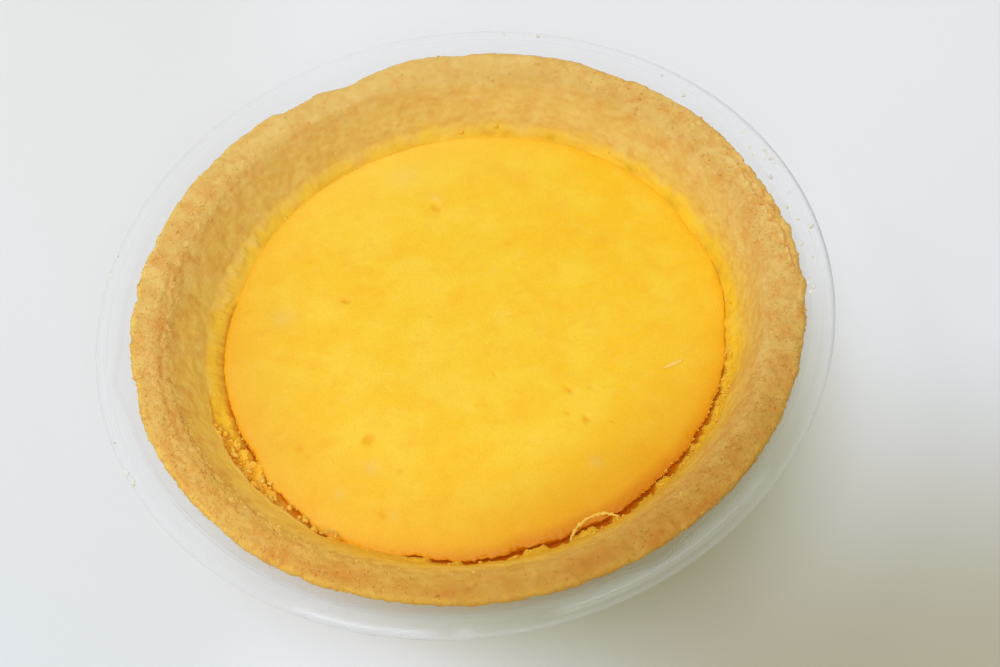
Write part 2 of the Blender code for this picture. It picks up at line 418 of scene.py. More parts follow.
def turned(radius, height, azimuth, x=0.0):
    """Grid points (x + r cos a, r sin a, z) for azimuths a in degrees."""
    turn = np.radians(azimuth)
    return np.stack(np.broadcast_arrays(x + radius * np.cos(turn), radius * np.sin(turn), height), -1)


def closed_skin(name, grid, material, **marks):
    """A closed mesh from a grid whose first and last rows are poles, one point each. marks are values on
    the same grid, kept as attributes of the points for the material to read."""
    rows, columns = grid.shape[:2]
    inner = lambda values: values[1:-1].reshape(-1, *values.shape[2:])
    flat = lambda values: np.concatenate([values[:1, 0], inner(values), values[-1:, 0]])
    ring = 1 + np.arange((rows - 2) * columns).reshape(rows - 2, columns)
    beside = np.roll(ring, -1, axis=1)
    quads = np.stack([ring[:-1], ring[1:], beside[1:], beside[:-1]], -1).reshape(-1, 4)
    first = np.stack([0 * ring[0], ring[0], beside[0]], -1)
    last = np.stack([ring[-1], 0 * ring[-1] + ring[-1, -1] + 1, beside[-1]], -1)
    faces = first.tolist() + quads.tolist() + last.tolist()
    marks = {label: flat(np.broadcast_to(values, grid.shape[:2])) for label, values in marks.items()}
    return finished(name, flat(grid), faces, material, marks, True)


def finished(name, points, faces, material, marks, smooth):
    """Makes the mesh, keeps each mark as an attribute of its points and links it as a piece that rides on
    the tart's one body."""
    mesh = bpy.data.meshes.new(name)
    mesh.from_pydata(points, [], faces)
    for label, values in marks.items():
        mesh.attributes.new(label, "FLOAT", "POINT").data.foreach_set("value", values.astype(np.float32))
    if smooth:
        mesh.shade_smooth()
    mesh.materials.append(material)
    piece = bpy.data.objects.new(name, mesh)
    bpy.context.scene.collection.objects.link(piece)
    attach(piece, "root")
    print(name, "has", sum(len(p.vertices) - 2 for p in mesh.polygons), "triangles")
    return piece


# %% [markdown]
# ## Where the filling came away
#
# Filling and crust bake into one, and on cooling the filling shrinks and tears loose along its edge. The
# tear wanders in and out, and it opens and closes. So it is one line of azimuths and radii, which the
# filling ends at, and a list of openings, each with its azimuths and width. Outside the line, crumbs of the
# crust reach in to the filling wherever nothing is open.

# %% The crack
# Azimuth (degrees) and radius (mm) of the filling's edge
TEAR = (
    (-180.0, 28.35), (-165.0, 28.2), (-161.0, 28.35), (-158.0, 28.1), (-155.5, 28.0), (-152.0, 28.35),
    (-147.5, 28.8), (-144.0, 28.9), (-142.5, 28.7), (-140.0, 29.0), (-136.0, 29.0), (-133.5, 29.3),
    (-131.0, 29.8), (-127.0, 29.7), (-121.0, 29.5), (-113.0, 29.4), (-110.0, 29.0), (-107.5, 28.9),
    (-104.0, 29.2), (-97.0, 29.35), (-90.0, 29.1), (-88.0, 28.9), (-86.0, 28.6), (-83.0, 28.7),
    (-77.5, 28.8), (-70.0, 28.6), (-67.0, 28.9), (-62.0, 29.0), (-58.5, 28.9), (-55.5, 28.8),
    (-50.0, 28.85), (-47.5, 28.7), (-45.5, 28.95), (-41.0, 29.0), (-38.5, 28.7), (-36.0, 28.85),
    (-33.0, 28.95), (-29.0, 28.85), (-25.0, 28.95), (-21.0, 28.85), (-17.0, 29.0), (-11.0, 28.65),
    (0.0, 29.05), (12.0, 29.1), (20.0, 28.65), (30.0, 29.1), (60.0, 29.25), (90.0, 28.95), (120.0, 28.75),
    (140.0, 28.5), (150.0, 28.2), (160.0, 27.95), (170.0, 28.2), (180.0, 28.35),
)
# From azimuth, to azimuth (degrees), width (mm)
OPENINGS = (
    (-200.0, -172.0, 0.40), (-173.5, -161.0, 0.62), (-160.5, -153.4, 0.85), (-149.0, -144.3, 0.50),
    (-143.5, -139.0, 0.85), (-139.2, -135.0, 1.05), (-135.6, -131.5, 0.50), (-131.8, -128.0, 0.60),
    (-110.5, -106.5, 0.32), (-105.0, -100.3, 0.52), (-98.0, -95.0, 0.62), (-94.6, -92.9, 0.50),
    (-92.6, -88.6, 0.80), (-88.8, -85.2, 0.65), (-85.0, -81.0, 0.25), (-80.6, -75.0, 0.85),
    (-75.0, -72.6, 0.3), (-72.0, -69.2, 0.35), (-69.6, -65.8, 0.95), (-64.0, -58.6, 0.95),
    (-59.0, -56.8, 0.55), (-57.2, -53.6, 0.85), (-53.4, -50.4, 0.25), (-50.2, -46.3, 0.85),
    (-46.6, -41.6, 0.50), (-40.4, -35.8, 0.80), (-36.2, -28.8, 0.58), (-29.0, -24.8, 0.50),
    (-25.0, -23.0, 0.28), (-22.6, -18.8, 0.42), (-19.0, -16.3, 0.2), (-14.6, -8.6, 0.14), (-7.0, 10.0, 0.1),
)
OPENING_END = 1.8  # degrees over which an opening closes, twice as many in the blunt stretch
BLUNT_OPENINGS = (-148.0, 24.0)  # azimuth of the stretch's middle and its half width
WIDER_OPENINGS = (-62.0, 55.0)
CLOSED_OVERLAP = 0.15 * MM


def crack_edges(azimuth):
    """Radius of the filling's edge, which is the tear line, and of the crust's edge across the crack: the
    tear line plus the width of an opening, or less a small overlap where nothing is open."""
    turn = around(azimuth, 0.0)
    filling = np.interp(turn, [a for a, _ in TEAR], [r * MM for _, r in TEAR])
    width = 0.0 * azimuth
    for start, stop, gap in OPENINGS:
        gap = gap * (1.0 + 0.3 * hump(start, *WIDER_OPENINGS))
        inside = azimuth_window(azimuth, start, stop)
        closing = OPENING_END * (1.0 + hump(start, *BLUNT_OPENINGS))
        width = np.maximum(width, gap * MM * ease(inside / closing + 0.5))
    width = width * (1.0 + 0.8 * rough(turned(filling, 0.0, azimuth), 0.9 * MM, 131, 3))
    return filling, filling + width - CLOSED_OVERLAP * ease(1.0 - width / (0.08 * MM))


edge, wall = crack_edges(all_round(3600))
print("crack open along", round(float(np.mean(wall > edge)) * 100), "% of the edge, at most",
      round(float((wall - edge).max()) / MM, 2), "mm wide")

# %% [markdown]
# ## Crust
#
# The crust is shortcrust pressed into a mould: a smooth cone outside, and a wide rim whose top is all
# crumbs. Its inner wall is smoother, with fine fissures that run round it, and its lowest band is stained
# by the filling and broken away in places. Modelling tools could sculpt this, but a formula for the depth at
# each point gives the same crumbs on every run.

# %% Shape of the crust
CRUST_COLUMNS = 900
SOFTENING_ROUNDS = 40  # for the corner between the inner wall and the rim
# Places where the rim is broken back: azimuth, half width in degrees, depth in mm
CHIPS = ((109.0, 17.0, 0.75), (16.0, 15.0, 0.20), (-109.0, 13.0, 0.15), (55.0, 8.0, 0.20),
         (-172.0, 5.0, 0.25))
NIBBLES = ((106.0, 3.4, 0.35), (118.5, 4.0, 0.50), (112.0, 3.0, -0.45), (21.8, 1.6, 0.35), (51.8, 1.4, 0.30),
           (-173.5, 2.6, 0.20), (168.5, 2.0, 0.25), (157.0, 2.0, 0.25), (-7.0, 2.0, -0.25), (5.5, 3.0, -0.20))


def crust_outline(azimuth):
    """How far the rim's edge lies out of round: two slow waves, less the chips and small nibbles."""
    turn = np.radians(azimuth)
    out = 0.2 * np.cos(turn - math.radians(165.0)) + 0.2 * np.cos(2.0 * (turn - math.radians(140.0)))
    for centre, half_width, depth in CHIPS + NIBBLES:
        out = out - depth * hump(azimuth, centre, half_width)
    return out * MM


def crust_profile():
    """(radius, height) from the middle of the hollow's floor up the inner wall, over the rim and down to
    the middle of the base. The rim's top is the oval x = cos t, z = sin t with both raised to a power
    below 1, which squares it on its outer side."""
    floor_z = CRUST_BASE_Z + FLOOR_THICKNESS
    inner = lambda z: (RIM_RADIUS - RIM_WIDTH - FLARE * (RIM_EDGE_Z - z), z)
    outer = lambda z: (RIM_RADIUS - FLARE * (RIM_EDGE_Z - z), z)
    crack_z = FILLING_EDGE_Z - CRACK_DEPTH
    t = np.linspace(math.pi, 0.0, 400)
    power = RIM_SQUARENESS + (1.0 - RIM_SQUARENESS) * (np.cos(t) < 0.0)
    across = np.sign(np.cos(t)) * np.abs(np.cos(t)) ** power
    crown = RIM_CROWN * np.abs(np.sin(t)) ** power
    top = np.stack([RIM_RADIUS - RIM_WIDTH / 2 * (1.0 - across), RIM_EDGE_Z + crown], -1)
    foot_lean = math.atan(FLARE)
    foot_r = outer(CRUST_BASE_Z)[0] - CORNER_RADIUS / math.tan(math.radians(45.0) + foot_lean / 2)
    bend = np.linspace(-foot_lean, -math.pi / 2, 5)
    foot_z = CRUST_BASE_Z + CORNER_RADIUS * (1.0 + np.sin(bend))
    foot = np.stack([foot_r + CORNER_RADIUS * np.cos(bend), foot_z], -1)
    profile = joined(
        np.array([(0.0, floor_z), inner(floor_z)]),
        evenly([inner(floor_z), inner(crack_z)], 2.4 * MM),
        evenly([inner(crack_z), inner(FILLING_EDGE_Z)], 0.36 * MM),
        evenly([inner(FILLING_EDGE_Z), inner(RIM_EDGE_Z)], 0.165 * MM),
        evenly(top, 0.15 * MM),
        evenly([outer(RIM_EDGE_Z), outer(RIM_EDGE_Z - 2.4 * MM)], 0.38 * MM),
        evenly([outer(RIM_EDGE_Z - 2.4 * MM), foot[0]], 2.0 * MM),
        foot,
        np.array([foot[-1], (0.0, CRUST_BASE_Z)]),
    )
    radius, height = profile[1:-1, :1], profile[1:-1, 1:]
    soften = ease((height - RIM_EDGE_Z + 2.0 * MM) / (1.5 * MM)) * (radius < RIM_RADIUS - 0.6 * MM)
    for _ in range(SOFTENING_ROUNDS):
        profile[1:-1] += soften * ((profile[2:] + profile[:-2]) / 2 - profile[1:-1])
    return profile


# %% [markdown]
# The relief is a depth along the surface's own normal. It is a sum of simple terms, each with a reason: lumps
# from pressing the dough, packed crumbs, air holes, fissures, and a lower band where the skin of the wall
# stuck to the filling and came away. The same terms tell the material where the crust is toasted, stained or
# pale, so colour and shape agree.

# %% Marks of baking and pressing on the crust
# Toasted patches on the rim: azimuth, radius (mm), half width along and across the rim (mm), strength
TOASTED = (
    (-129.0, 36.6, 1.4, 0.8, 1.2), (-118.0, 36.2, 2.8, 0.9, 1.1), (-116.0, 34.9, 2.2, 0.7, 0.8),
    (-99.0, 36.4, 1.2, 0.7, 1.2), (-158.5, 36.4, 1.1, 0.6, 0.9), (-153.0, 36.8, 1.0, 0.4, 0.7),
    (-142.0, 34.8, 0.8, 0.5, 0.8), (-149.5, 37.3, 0.5, 0.4, 0.8), (-64.0, 36.7, 1.8, 0.6, 1.5),
    (-54.5, 36.9, 2.8, 0.5, 1.6), (-76.0, 35.9, 2.4, 1.0, 1.1), (-49.0, 35.1, 0.8, 0.7, 0.6),
    (-43.0, 34.6, 0.6, 0.6, 0.6), (-38.0, 36.9, 1.0, 0.3, 0.8), (-27.5, 36.9, 1.8, 0.3, 1.0),
    (-18.5, 35.2, 0.35, 0.45, 1.2), (-13.5, 36.9, 1.0, 0.3, 0.9), (-4.0, 36.5, 2.4, 0.45, 1.2),
    (1.5, 36.3, 1.2, 0.5, 1.1), (8.0, 36.2, 0.5, 0.6, 0.9), (174.5, 34.4, 2.2, 0.45, 1.2),
    (-176.0, 34.5, 1.5, 0.4, 1.0), (-166.0, 34.5, 4.0, 0.25, 0.6), (143.0, 34.9, 0.8, 0.7, 1.0),
    (148.0, 35.8, 1.2, 0.7, 0.6), (153.5, 34.6, 0.7, 0.8, 0.7), (103.0, 33.4, 2.0, 1.0, 0.5),
    (87.0, 35.0, 0.5, 1.0, 0.6), (68.0, 35.3, 0.7, 0.8, 0.6), (49.0, 35.5, 1.2, 0.5, 0.5),
    (40.5, 35.2, 0.8, 0.5, 0.5), (-107.0, 36.2, 0.8, 1.0, 0.5),
)
# Creases along the right and the left of the rim, as azimuth and radius (mm). The left one's count from 180.
CREASE = ((-4.0, 36.9), (2.0, 36.7), (6.0, 36.5), (10.0, 36.2), (15.0, 36.0), (20.0, 36.1))
LEFT_CREASE = ((-24.0, 34.6), (-16.0, 34.4), (-8.0, 34.1), (0.0, 34.3), (8.0, 34.5), (20.0, 34.6),
               (30.0, 34.4))
# Where the wall's skin is broken away: azimuth, half width in degrees, depth (mm)
SKIN_BREAKS = ((-147.0, 26.0, 0.85), (-45.0, 42.0, 0.12), (150.0, 22.0, 0.20))
SKIN_TOP = 1.7 * MM  # height above the filling's edge up to which the skin came away
# Darker orange spots low on the far wall: azimuth, radius (mm)
FAR_WALL_SPOTS = (
    (43.0, 29.5), (58.0, 29.3), (64.0, 29.6), (74.0, 29.5), (80.0, 29.8), (95.0, 29.2), (101.0, 29.3),
    (117.0, 29.1), (121.0, 29.3), (137.0, 28.9), (142.0, 29.2), (154.0, 28.8), (165.0, 28.7), (20.0, 28.9),
    (29.0, 29.4), (13.5, 29.6), (7.0, 29.4),
)


def patch(azimuth, radius, centre, at_radius, along, across):
    """1 at a place on the rim, falling off like a bell along and across it."""
    sideways = np.radians(around(azimuth, centre)) * at_radius / along
    return np.exp(-(sideways**2) - ((radius / MM - at_radius) / across) ** 2)


def crease(at, path, centre):
    """How far inside a crease's stretch a point is (0 to 1), and how far outside its line (mm)."""
    turn = around(at.azimuth, centre)
    line = np.interp(turn, [a for a, _ in path], [r for _, r in path])
    inside = ease(azimuth_window(turn, path[0][0] - 1.0, path[-1][0] + 1.0) / 4.0)
    return inside, at.radius / MM - line + 0.35 * rough(at.points, 1.5 * MM, 81, 3)


# %% [markdown]
# Most terms belong to one part of the crust or to one stretch of its round. So each point first gets shares
# from 0 to 1 that say where it is, and the terms below are multiplied by them.

# %% Stretches of the crust
# Azimuth of the middle and half width, in degrees
SMOOTH_WALL = (-140.0, 105.0)
SHALLOW_CRACK = (-180.0, 22.0)
HEAPED_BAND = (-146.0, 26.0)  # where the torn band is a heap of crumbs
FAR_SIDE = (100.0, 70.0)
SOFT_FAR, SOFT_NEAR = (95.0, 95.0), (-88.0, 50.0)  # where the picture is out of focus
FLAKY_RIM = (14.0, 36.0)
STAIN_NEAR, STAIN_NEAR_LEFT, STAIN_RIGHT = (-80.0, 110.0), (-119.0, 16.0), (8.0, 50.0)
# Stretches of painted light on the near wall
PAINTED_LIGHT_WALL, LESS_PAINTED_LIGHT = (-110.0, 120.0), (-82.0, 62.0)
YELLOW_EDGE = (-155.0, 120.0)
WARM_SIDE = (-110.0, 110.0)
SHADE_NEAR, SHADE_LOW, SHADE_FAR, SHADE_LEFT = (-64.0, 80.0), (-80.0, 72.0), (60.0, 80.0), (-160.0, 55.0)
TORN = (-175.0, -8.0)  # from azimuth, to azimuth


def crust_places(radius, height, azimuth):
    """Where each point is: on the rim, on the inner wall or outside, and how much of each stretch it has."""
    at = SimpleNamespace(radius=radius, height=height, azimuth=azimuth, rise=height - FILLING_EDGE_Z)
    at.points = turned(radius, height, azimuth)
    mid_wall = RIM_RADIUS - RIM_WIDTH / 2 - FLARE * np.maximum(RIM_EDGE_Z - height, 0.0)
    at.inner_side = (radius + 0.0 * azimuth < mid_wall) & (height > CRUST_BASE_Z + FLOOR_THICKNESS / 2)
    at.on_rim = ease((height - RIM_EDGE_Z + 1.1 * MM) / (1.3 * MM))
    at.on_wall = ease(at.rise / (0.8 * MM)) * (1.0 - at.on_rim) * at.inner_side
    at.outside = (1.0 - at.on_rim) * (1.0 - at.inner_side)
    at.calm = 0.35 + 0.65 * hump(azimuth, *SMOOTH_WALL)
    at.wall = ease((RIM_EDGE_Z + 0.4 * MM - height) / (3.5 * MM)) * at.calm * at.inner_side
    at.torn = 0.12 + 0.88 * ease(azimuth_window(azimuth, *TORN) / 12.0)
    at.heaped = 0.4 + 0.6 * hump(azimuth, *HEAPED_BAND)
    at.far_side = hump(azimuth, *FAR_SIDE)
    at.crisp = 1.0 - 0.75 * hump(azimuth, *SOFT_FAR) - 0.60 * hump(azimuth, *SOFT_NEAR)
    return at


def add_dough_noise(at):
    """The noises that depth and colour share, each in the size at which the dough shows it."""
    shaken = at.points + 0.25 * MM * rough(at.points, 1.2 * MM, 61)[..., None]
    at.big, at.big_tone = crumbs(shaken, 1.25 * MM, 7)
    at.small, at.small_tone = crumbs(at.points, 0.66 * MM, 9)
    at.press = rough(at.points, 5.0 * MM, 21)
    at.grain = rough(at.points, 0.9 * MM, 31, 3)
    at.ragged = rough(at.points, 0.9 * MM, 83, 3)
    at.holes = ease((rough(at.points, 1.1 * MM, 41, 2) - 0.40) / 0.22)
    at.streaks = rough(at.points * (0.4, 0.4, 1.6), 1.0 * MM, 51, 3)


# %% Relief of the crust
def pressed_depth(at):
    """Press marks all over, packed crumbs and air holes on the rim, and fissures on the wall (mm)."""
    seen = np.maximum(np.maximum(at.on_rim, at.on_wall), 0.45 * at.outside)
    packed = 0.15 * (at.big - 0.6) * (0.6 + 0.8 * at.big_tone)
    packed = packed + 0.13 * at.crisp * (at.small - 0.6) * (0.5 + at.small_tone)
    sandy = 0.13 * at.grain - 0.20 * at.holes + 0.05 * lumps(at.points, 0.42 * MM, 37)
    fissured = 0.07 * (at.big - 0.6) + 0.06 * (at.small - 0.6) + 0.09 * at.grain + 0.05 * at.streaks
    depth = 0.20 * at.press * seen + at.on_rim * packed + at.on_rim * sandy * at.crisp
    depth = depth + at.on_wall * (1.6 - 1.2 * at.calm) * fissured
    return depth + at.outside * (0.05 * at.grain + 0.03 * (at.small - 0.6))


def torn_band(at):
    """Where the skin of the wall came away: how far the band is sunk and how far its crumbs stand out (mm).
    Keeps the skin's edge, the band below it and the lip that the skin's edge raises."""
    wander = 0.75 * MM * rough(at.points * (1, 1, 0), 3.0 * MM, 71, 4)
    at.skin_edge = SKIN_TOP * (0.45 + 0.55 * at.torn) + wander
    broken = sum(cut * hump(at.azimuth, centre, width) ** 0.5 for centre, width, cut in SKIN_BREAKS) + 0.04
    at.low = ease((at.skin_edge - at.rise) / (0.16 * MM)) * at.inner_side
    raised = bell((at.rise - at.skin_edge - 0.12 * MM) / (0.22 * MM))
    at.lip = raised * at.inner_side * np.clip(broken * 1.6, 0.0, 1.0)
    lumpy = 0.42 * (at.big - 0.6) + 0.36 * (at.small - 0.5) + 0.14 * at.grain
    sunk = broken * at.low * ease((at.rise - 0.05 * MM) / (0.5 * MM))
    return sunk, at.torn * at.low * ease((at.rise + 1.4 * MM) / MM) * at.heaped * lumpy


def add_creases(at):
    """The grooves of the two creases, the flakes on their inner side, and how flaky the rim is beside one."""
    in_crease, off = crease(at, CREASE, 0.0)
    in_crease = in_crease * at.on_rim
    at.groove = in_crease * bell(off / 0.26) * ease(at.ragged / 0.4 + 0.5)
    at.flake = in_crease * bell((off + 0.40) / 0.22) * ease(at.ragged / 0.3 + 0.4)
    at.flaky = at.on_rim * hump(at.azimuth, *FLAKY_RIM) * ease((at.radius - 34.4 * MM) / (1.4 * MM))
    in_left, off = crease(at, LEFT_CREASE, 180.0)
    at.left_groove = in_left * bell(off / 0.30)
    at.left_flake = in_left * bell((off + 0.5) / 0.3) * ease(rough(at.points, 1.2 * MM, 85, 2) / 0.3)


def relief_depth(at):
    """The sum of the terms (mm)."""
    depth = pressed_depth(at)
    sunk, heap = torn_band(at)
    depth = depth - sunk + 0.10 * at.lip + heap
    add_creases(at)
    return (depth - 0.30 * at.groove + 0.16 * at.flake + 0.26 * at.ragged * at.flaky
            - 0.08 * at.left_groove + 0.08 * at.left_flake)


# %% Marks for the crust's colour
def toasted_and_shaded(at):
    """Toasted patches and streaks on the wall, with painted shade in the bottoms of the creases and between
    the flakes.
    """
    toast_and_shade = sum(share * patch(at.azimuth, at.radius, *place) for *place, share in TOASTED) * at.on_rim
    toast_and_shade = toast_and_shade * (0.9 + 0.6 * rough(at.points, 1.3 * MM, 91, 3)) + 0.8 * at.groove + 0.2 * at.left_groove
    toast_and_shade = toast_and_shade + at.flaky * 0.6 * ease(-at.ragged / 0.5)
    streaky = 0.5 * ease((at.streaks - 0.15) / 0.5) * at.on_wall + 0.3 * ease((at.press - 0.1) / 0.5)
    return toast_and_shade + streaky * (1.25 - at.calm)


def stained(at):
    """The filling's stain: all of the torn band, fading above it, and risen higher in some stretches."""
    near = hump(at.azimuth, *STAIN_NEAR) + 0.6 * hump(at.azimuth, *STAIN_NEAR_LEFT)
    risen = 0.85 * ease((5.0 * MM - at.rise) / (3.4 * MM)) * near
    risen = risen + 0.45 * ease((3.6 * MM - at.rise) / (2.6 * MM)) * hump(at.azimuth, *STAIN_RIGHT)
    above = at.skin_edge + (0.8 + 0.3 * at.far_side) * MM
    fading = ease((above - at.rise) / ((1.0 + 0.8 * at.far_side) * MM))
    return (fading * (0.75 + 0.25 * at.torn) + risen) * at.inner_side


def painted_wall_light_at(at):
    """Painted light on the smooth near wall, less where it meets the filling: a lighter colour and a faint
    glow.
    """
    below_rim = ease((RIM_EDGE_Z + 1.1 * MM - at.height) / (2.2 * MM))
    painted_wall_light = hump(at.azimuth, *PAINTED_LIGHT_WALL) * below_rim * at.calm * at.inner_side
    return painted_wall_light * (1.0 - 0.75 * hump(at.azimuth, *LESS_PAINTED_LIGHT) * ease((31.8 * MM - at.radius) / (1.6 * MM)))


def shaded(at):
    """Soft shade: at the near right, deeper outward, low on the near wall, and on the rim's inner slope."""
    across = at.radius / MM
    near = hump(at.azimuth, *SHADE_NEAR) * np.interp(across, (32.0, 34.0, 36.0), (0.45, 0.82, 1.35))
    low = 0.65 * hump(at.azimuth, *SHADE_LOW) * bell((across - 30.7) / 0.9)
    slope = 0.38 * hump(at.azimuth, *SHADE_FAR) + 0.3 * hump(at.azimuth, *SHADE_LEFT)
    return near + low + slope * bell(across - 34.0)


def crust_marks_at(at):
    """All the marks that the crust's material reads. The band runs from the crack up to the skin's edge."""
    band = at.low * at.inner_side * ease((at.rise + 0.6 * MM) / (0.5 * MM))
    crumbly = at.heaped**2 * at.torn * band
    edge = ease((at.radius - RIM_RADIUS + 0.75 * MM) / (0.5 * MM)) * at.on_rim
    far_spots = sum(patch(at.azimuth, at.radius, a, r, 1.3, 0.45) for a, r in FAR_WALL_SPOTS) * at.inner_side
    stain = stained(at)
    # Paler on the far side of the rim
    far_pallor = 0.22 * at.far_side * (at.on_rim + 0.2 * at.on_wall) * np.clip(1.0 - stain, 0.0, 1.0)
    flakes = at.lip * 0.9 + at.flake + 0.5 * at.flaky * ease(at.ragged / 0.5) + 0.6 * at.left_flake
    crack_floor = 1.0 - ease((at.rise + 1.2 * MM) / (1.1 * MM))
    return dict(
        toast_and_shade=np.clip(toasted_and_shaded(at), 0.0, 1.2),
        crumb=0.9 * crumbly * ease((at.small - 0.45) / 0.35) * (0.4 + 0.6 * at.small_tone),
        soft=1.0 - at.crisp + 0.0 * at.radius,
        pale=np.clip(flakes + 0.3 * (at.small_tone - 0.4) * at.on_rim + far_pallor, 0.0, 1.0),
        stain=stain,
        # hollow: painted shade, a deeper orange-brown low in the crack
        hollow=crack_floor * (1.0 - 0.35 * hump(at.azimuth, *SHALLOW_CRACK)) * at.inner_side,
        # Painted shade between the crumbs, a darker orange
        under=0.95 * crumbly * (0.35 + 0.65 * ease((0.62 - at.small) / 0.35)),  # between the crumbs
        wall=at.wall,
        rim=at.on_rim * 1.0,
        painted_wall_light=painted_wall_light_at(at),
        edge=edge * (0.3 + 0.7 * hump(at.azimuth, *YELLOW_EDGE)),
        warm=hump(at.azimuth, *WARM_SIDE) * (1.0 - 0.5 * at.wall),
        shade=shaded(at),
        far_spotting=np.clip(0.9 * far_spots * (0.9 + 0.8 * at.grain), 0.0, 1.0),
    )


# %% Points of the crust
def crust_grid():
    """The crust's points: profile, outline and crack edge first, then the relief along the normal. Also the
    marks, and the share of the torn band on which crumbs can lie."""
    profile = crust_profile()
    azimuth, radius, height = carried_round(profile, CRUST_COLUMNS)
    at = crust_places(radius, height, azimuth)
    add_dough_noise(at)
    depth = relief_depth(at) * MM
    ledge = at.low * at.inner_side * ease((at.rise + 0.25 * MM) / (0.5 * MM))

    across = (radius - (RIM_RADIUS - RIM_WIDTH - FLARE * (RIM_EDGE_Z - height))) / RIM_WIDTH
    at_crack = ease((at.rise + 1.7 * MM) / (1.4 * MM)) * ease((1.3 * MM - at.rise) / (0.9 * MM))
    shift = (crack_edges(azimuth)[1] - WALL_AT_FILLING) * at_crack * (across < 0.5)
    out = crust_outline(azimuth) * ease(across) * ease((height - CRUST_BASE_Z) / (6.0 * MM)) + shift
    waves = 0.14 * MM * lumps(turned(RIM_RADIUS, 0.0 * radius, azimuth), 16.0 * MM, 5)
    chipped = sum(0.4 * cut * hump(azimuth, centre, width) for centre, width, cut in CHIPS) * MM
    on_top = ease((height - RIM_EDGE_Z) / (0.5 * MM))
    normal = outward(profile)
    radius = radius + out + depth * normal[:, :1]
    height = height + depth * normal[:, 1:] + on_top * (waves - chipped)
    poles = [0, -1]
    radius[poles] = 0.0
    height[poles] = profile[poles, 1:]
    return turned(radius, height, azimuth, TART_X), crust_marks_at(at), ledge


# %% [markdown]
# ### Crust colour
#
# Baked shortcrust isn't one brown. Its colour is mixed from a golden dough, pale flecks of flour, toasted
# crumbs and the orange stain of the filling. The larger patches come from the marks worked out with the
# relief, and the finer ones from noise on Object coordinates. Light and shade are painted in too: painted
# shade at the near right, in the creases, low in the crack and between and under the crumbs, and painted
# light that makes the near wall lighter. The near wall, the crumbs and the crack's floor also glow faintly in
# their own colour, a painted light for what would pass through thin dough. Subsurface scattering would blur
# their fine relief, so the glow stands in for it.

# %% Crust material
def mark(tree, label):
    """The value of a piece's own attribute."""
    return node(tree, "Attribute", attribute_name=label).outputs["Fac"]


def texture(tree, place, size, detail=3.0):
    """Noise with lumps of this size."""
    inputs = {"Vector": place, "Scale": 1.0 / size, "Detail": detail, "Roughness": 0.6}
    return node(tree, "TexNoise", inputs).outputs[0]


def speckle(tree, place, size, low, high, detail=3.0):
    """Noise with lumps of this size, as 0 below low and 1 above high."""
    return rising(tree, texture(tree, place, size, detail), low, high)


def sandy_bump(tree, place, size, strength, distance):
    """Raises the surface by noise of this grain, for the light only."""
    inputs = {"Height": texture(tree, place, size), "Strength": strength, "Distance": distance}
    bump = node(tree, "Bump", inputs)
    tree.links.new(bump.outputs[0], tree.nodes["Principled BSDF"].inputs["Normal"])


GOLDEN = (0.75, 0.465, 0.105)
PALE = (0.86, 0.61, 0.19)
KHAKI = (0.83, 0.58, 0.09)
# Painted light: the lighter colour of the near wall
PAINTED_LIT_KHAKI = (0.93, 0.71, 0.12)
TOAST_AND_SHADE_BROWN = (0.73, 0.335, 0.055)
CRUMB_YELLOW = (0.82, 0.56, 0.08)
STAINED = (0.91, 0.55, 0.014)
FAR_SPOT_ORANGE = (0.74, 0.42, 0.012)
EDGE_YELLOW = (0.93, 0.66, 0.13)
# Painted shade low in the crack, on the crust's side and on the filling's side
CRACK_SHADE_BROWN = (0.90, 0.38, 0.003)
# Painted shade between and under the crumbs
CRUMB_SHADE_ORANGE = (0.77, 0.31, 0.005)
WARM_TINT = (1.0, 0.88, 0.62)
SHADE_TINT = (0.71, 0.63, 0.42)
DARK = (0.0, 0.0, 0.0)
CRACK_GLOW = (0.03, 0.008, 0.0)
# Painted light: a faint glow of the near wall, the crumbs, the gaps under them and the crack's floor, by the
# mark that says where
PAINTED_GLOW = dict(
    painted_wall_light=(0.13, 0.065, 0.012), crumb=(0.085, 0.025, 0.0), under=(0.085, 0.022, 0.0), hollow=CRACK_GLOW)
# Size, from and to value of the noise, strength and colour of the crust's patches and of its specks
DOUGH_PATCHES = ((2.6 * MM, 0.42, 0.70, 0.60, PALE), (1.9 * MM, 0.44, 0.68, 0.66, TOAST_AND_SHADE_BROWN))
DOUGH_SPECKS = ((0.33 * MM, 0.50, 0.66, 0.30, PALE), (0.27 * MM, 0.50, 0.66, 0.28, TOAST_AND_SHADE_BROWN))


